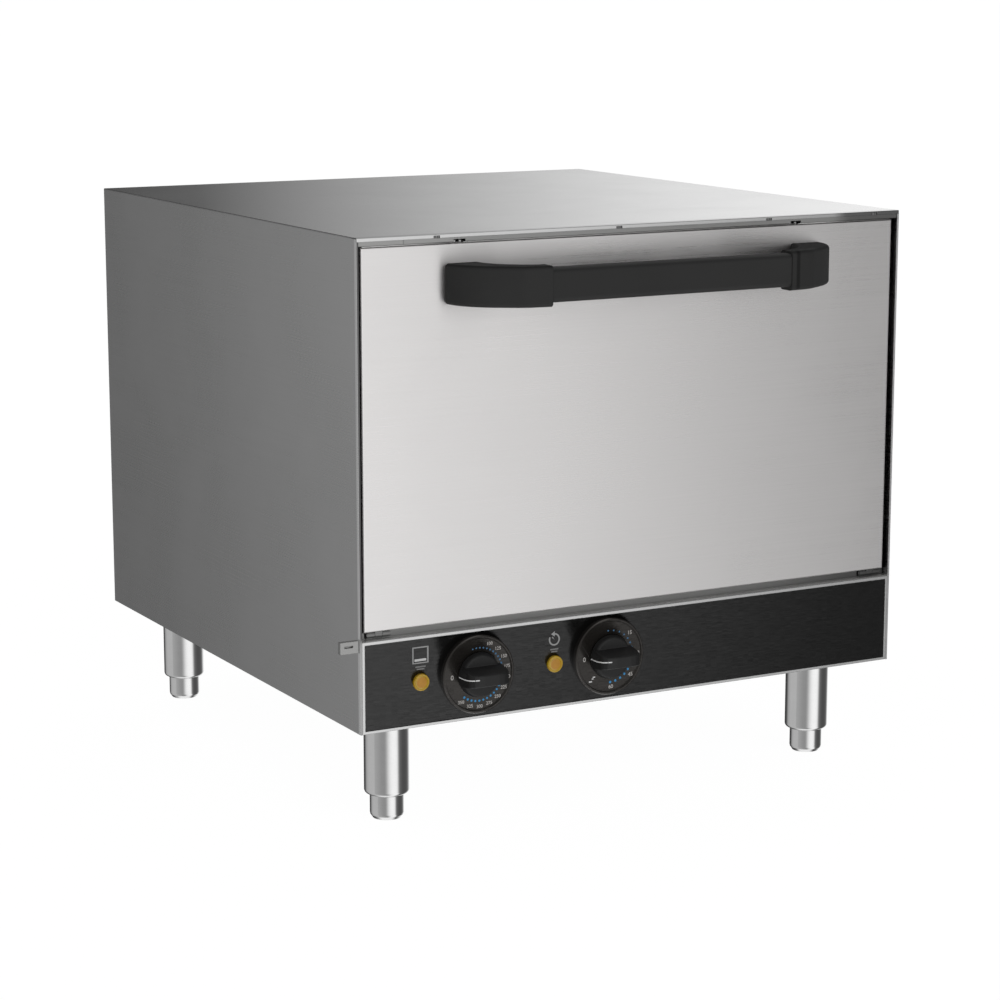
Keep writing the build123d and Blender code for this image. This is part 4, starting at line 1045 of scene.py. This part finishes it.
mr.inputs["From Min"].default_value = -math.pi
mr.inputs["From Max"].default_value = math.pi
lean = wnode("ShaderNodeMapRange", interpolation_type="SMOOTHSTEP")
lean.inputs["From Min"].default_value = -0.30
lean.inputs["From Max"].default_value = -0.65
lean.inputs["To Max"].default_value = math.radians(12)
wt.links.new(sep.outputs["Z"], lean.inputs["Value"])
front = wnode("ShaderNodeMapRange", interpolation_type="SMOOTHSTEP")
front.inputs["From Min"].default_value = 0.05
front.inputs["From Max"].default_value = -0.15
wt.links.new(sep.outputs["Y"], front.inputs["Value"])
turn = wnode("ShaderNodeMath", operation="MULTIPLY")
wt.links.new(lean.outputs[0], turn.inputs[0])
wt.links.new(front.outputs[0], turn.inputs[1])
azimuth = wnode("ShaderNodeMath", operation="SUBTRACT")
wt.links.new(at.outputs[0], azimuth.inputs[0])
wt.links.new(turn.outputs[0], azimuth.inputs[1])
wt.links.new(azimuth.outputs[0], mr.inputs["Value"])
cr = wnode("ShaderNodeValToRGB")
cr.color_ramp.interpolation = "LINEAR"
els = cr.color_ramp.elements
while len(els) < len(AROUND):
    els.new(0.5)
for e, (a, v) in zip(els, AROUND):
    e.position = (a + 180) / 360
    e.color = (v, v, v, 1)
wt.links.new(mr.outputs[0], cr.inputs["Fac"])

up = wnode("ShaderNodeMapRange", interpolation_type="SMOOTHSTEP")
up.inputs["From Min"].default_value = 0.45
up.inputs["From Max"].default_value = 0.95
wt.links.new(sep.outputs["Z"], up.inputs["Value"])
down = wnode("ShaderNodeMapRange", interpolation_type="SMOOTHSTEP")
down.inputs["From Min"].default_value = -0.84
down.inputs["From Max"].default_value = -0.97
wt.links.new(sep.outputs["Z"], down.inputs["Value"])
mix_up = wnode("ShaderNodeMix", data_type="RGBA")
wt.links.new(up.outputs[0], mix_up.inputs[0])
wt.links.new(cr.outputs[0], mix_up.inputs[6])
mix_up.inputs[7].default_value = (0.45, 0.45, 0.45, 1)
mix_down = wnode("ShaderNodeMix", data_type="RGBA")
wt.links.new(down.outputs[0], mix_down.inputs[0])
wt.links.new(mix_up.outputs[2], mix_down.inputs[6])
mix_down.inputs[7].default_value = (1.0, 1.0, 1.0, 1)
bg = wnode("ShaderNodeBackground")
wt.links.new(mix_down.outputs[2], bg.inputs["Color"])
bg_white = wnode("ShaderNodeBackground")
bg_white.inputs["Color"].default_value = (1, 1, 1, 1)
lp = wnode("ShaderNodeLightPath")
ms = wnode("ShaderNodeMixShader")
wt.links.new(lp.outputs["Is Camera Ray"], ms.inputs[0])
wt.links.new(bg.outputs[0], ms.inputs[1])
wt.links.new(bg_white.outputs[0], ms.inputs[2])
wo = wnode("ShaderNodeOutputWorld")
wt.links.new(ms.outputs[0], wo.inputs[0])

# --------------------------------------------------------------------- floor
bm = bmesh.new()
bmesh.ops.create_grid(bm, x_segments=2, y_segments=2, size=60.0)
mesh = bpy.data.meshes.new("floor")
bm.to_mesh(mesh)
bm.free()
floor = bpy.data.objects.new("floor", mesh)
bpy.context.scene.collection.objects.link(floor)
floor.location = (0, 0, -0.0002)
fm = bpy.data.materials.new("floor_pale")
fm.use_nodes = True
ft = fm.node_tree
ft.nodes.clear()
fo = ft.nodes.new("ShaderNodeOutputMaterial")
fd = ft.nodes.new("ShaderNodeBsdfDiffuse")
fd.inputs["Color"].default_value = (0.08, 0.08, 0.08, 1)
fe = ft.nodes.new("ShaderNodeEmission")
fe.inputs["Color"].default_value = (1, 1, 1, 1)
fe.inputs["Strength"].default_value = 0.97
fa = ft.nodes.new("ShaderNodeAddShader")
ft.links.new(fd.outputs[0], fa.inputs[0])
ft.links.new(fe.outputs[0], fa.inputs[1])
ft.links.new(fa.outputs[0], fo.inputs[0])
mesh.materials.append(fm)
floor.visible_glossy = False

# ----------------------------------------------------------------- hand back
bpy.context.view_layer.update()
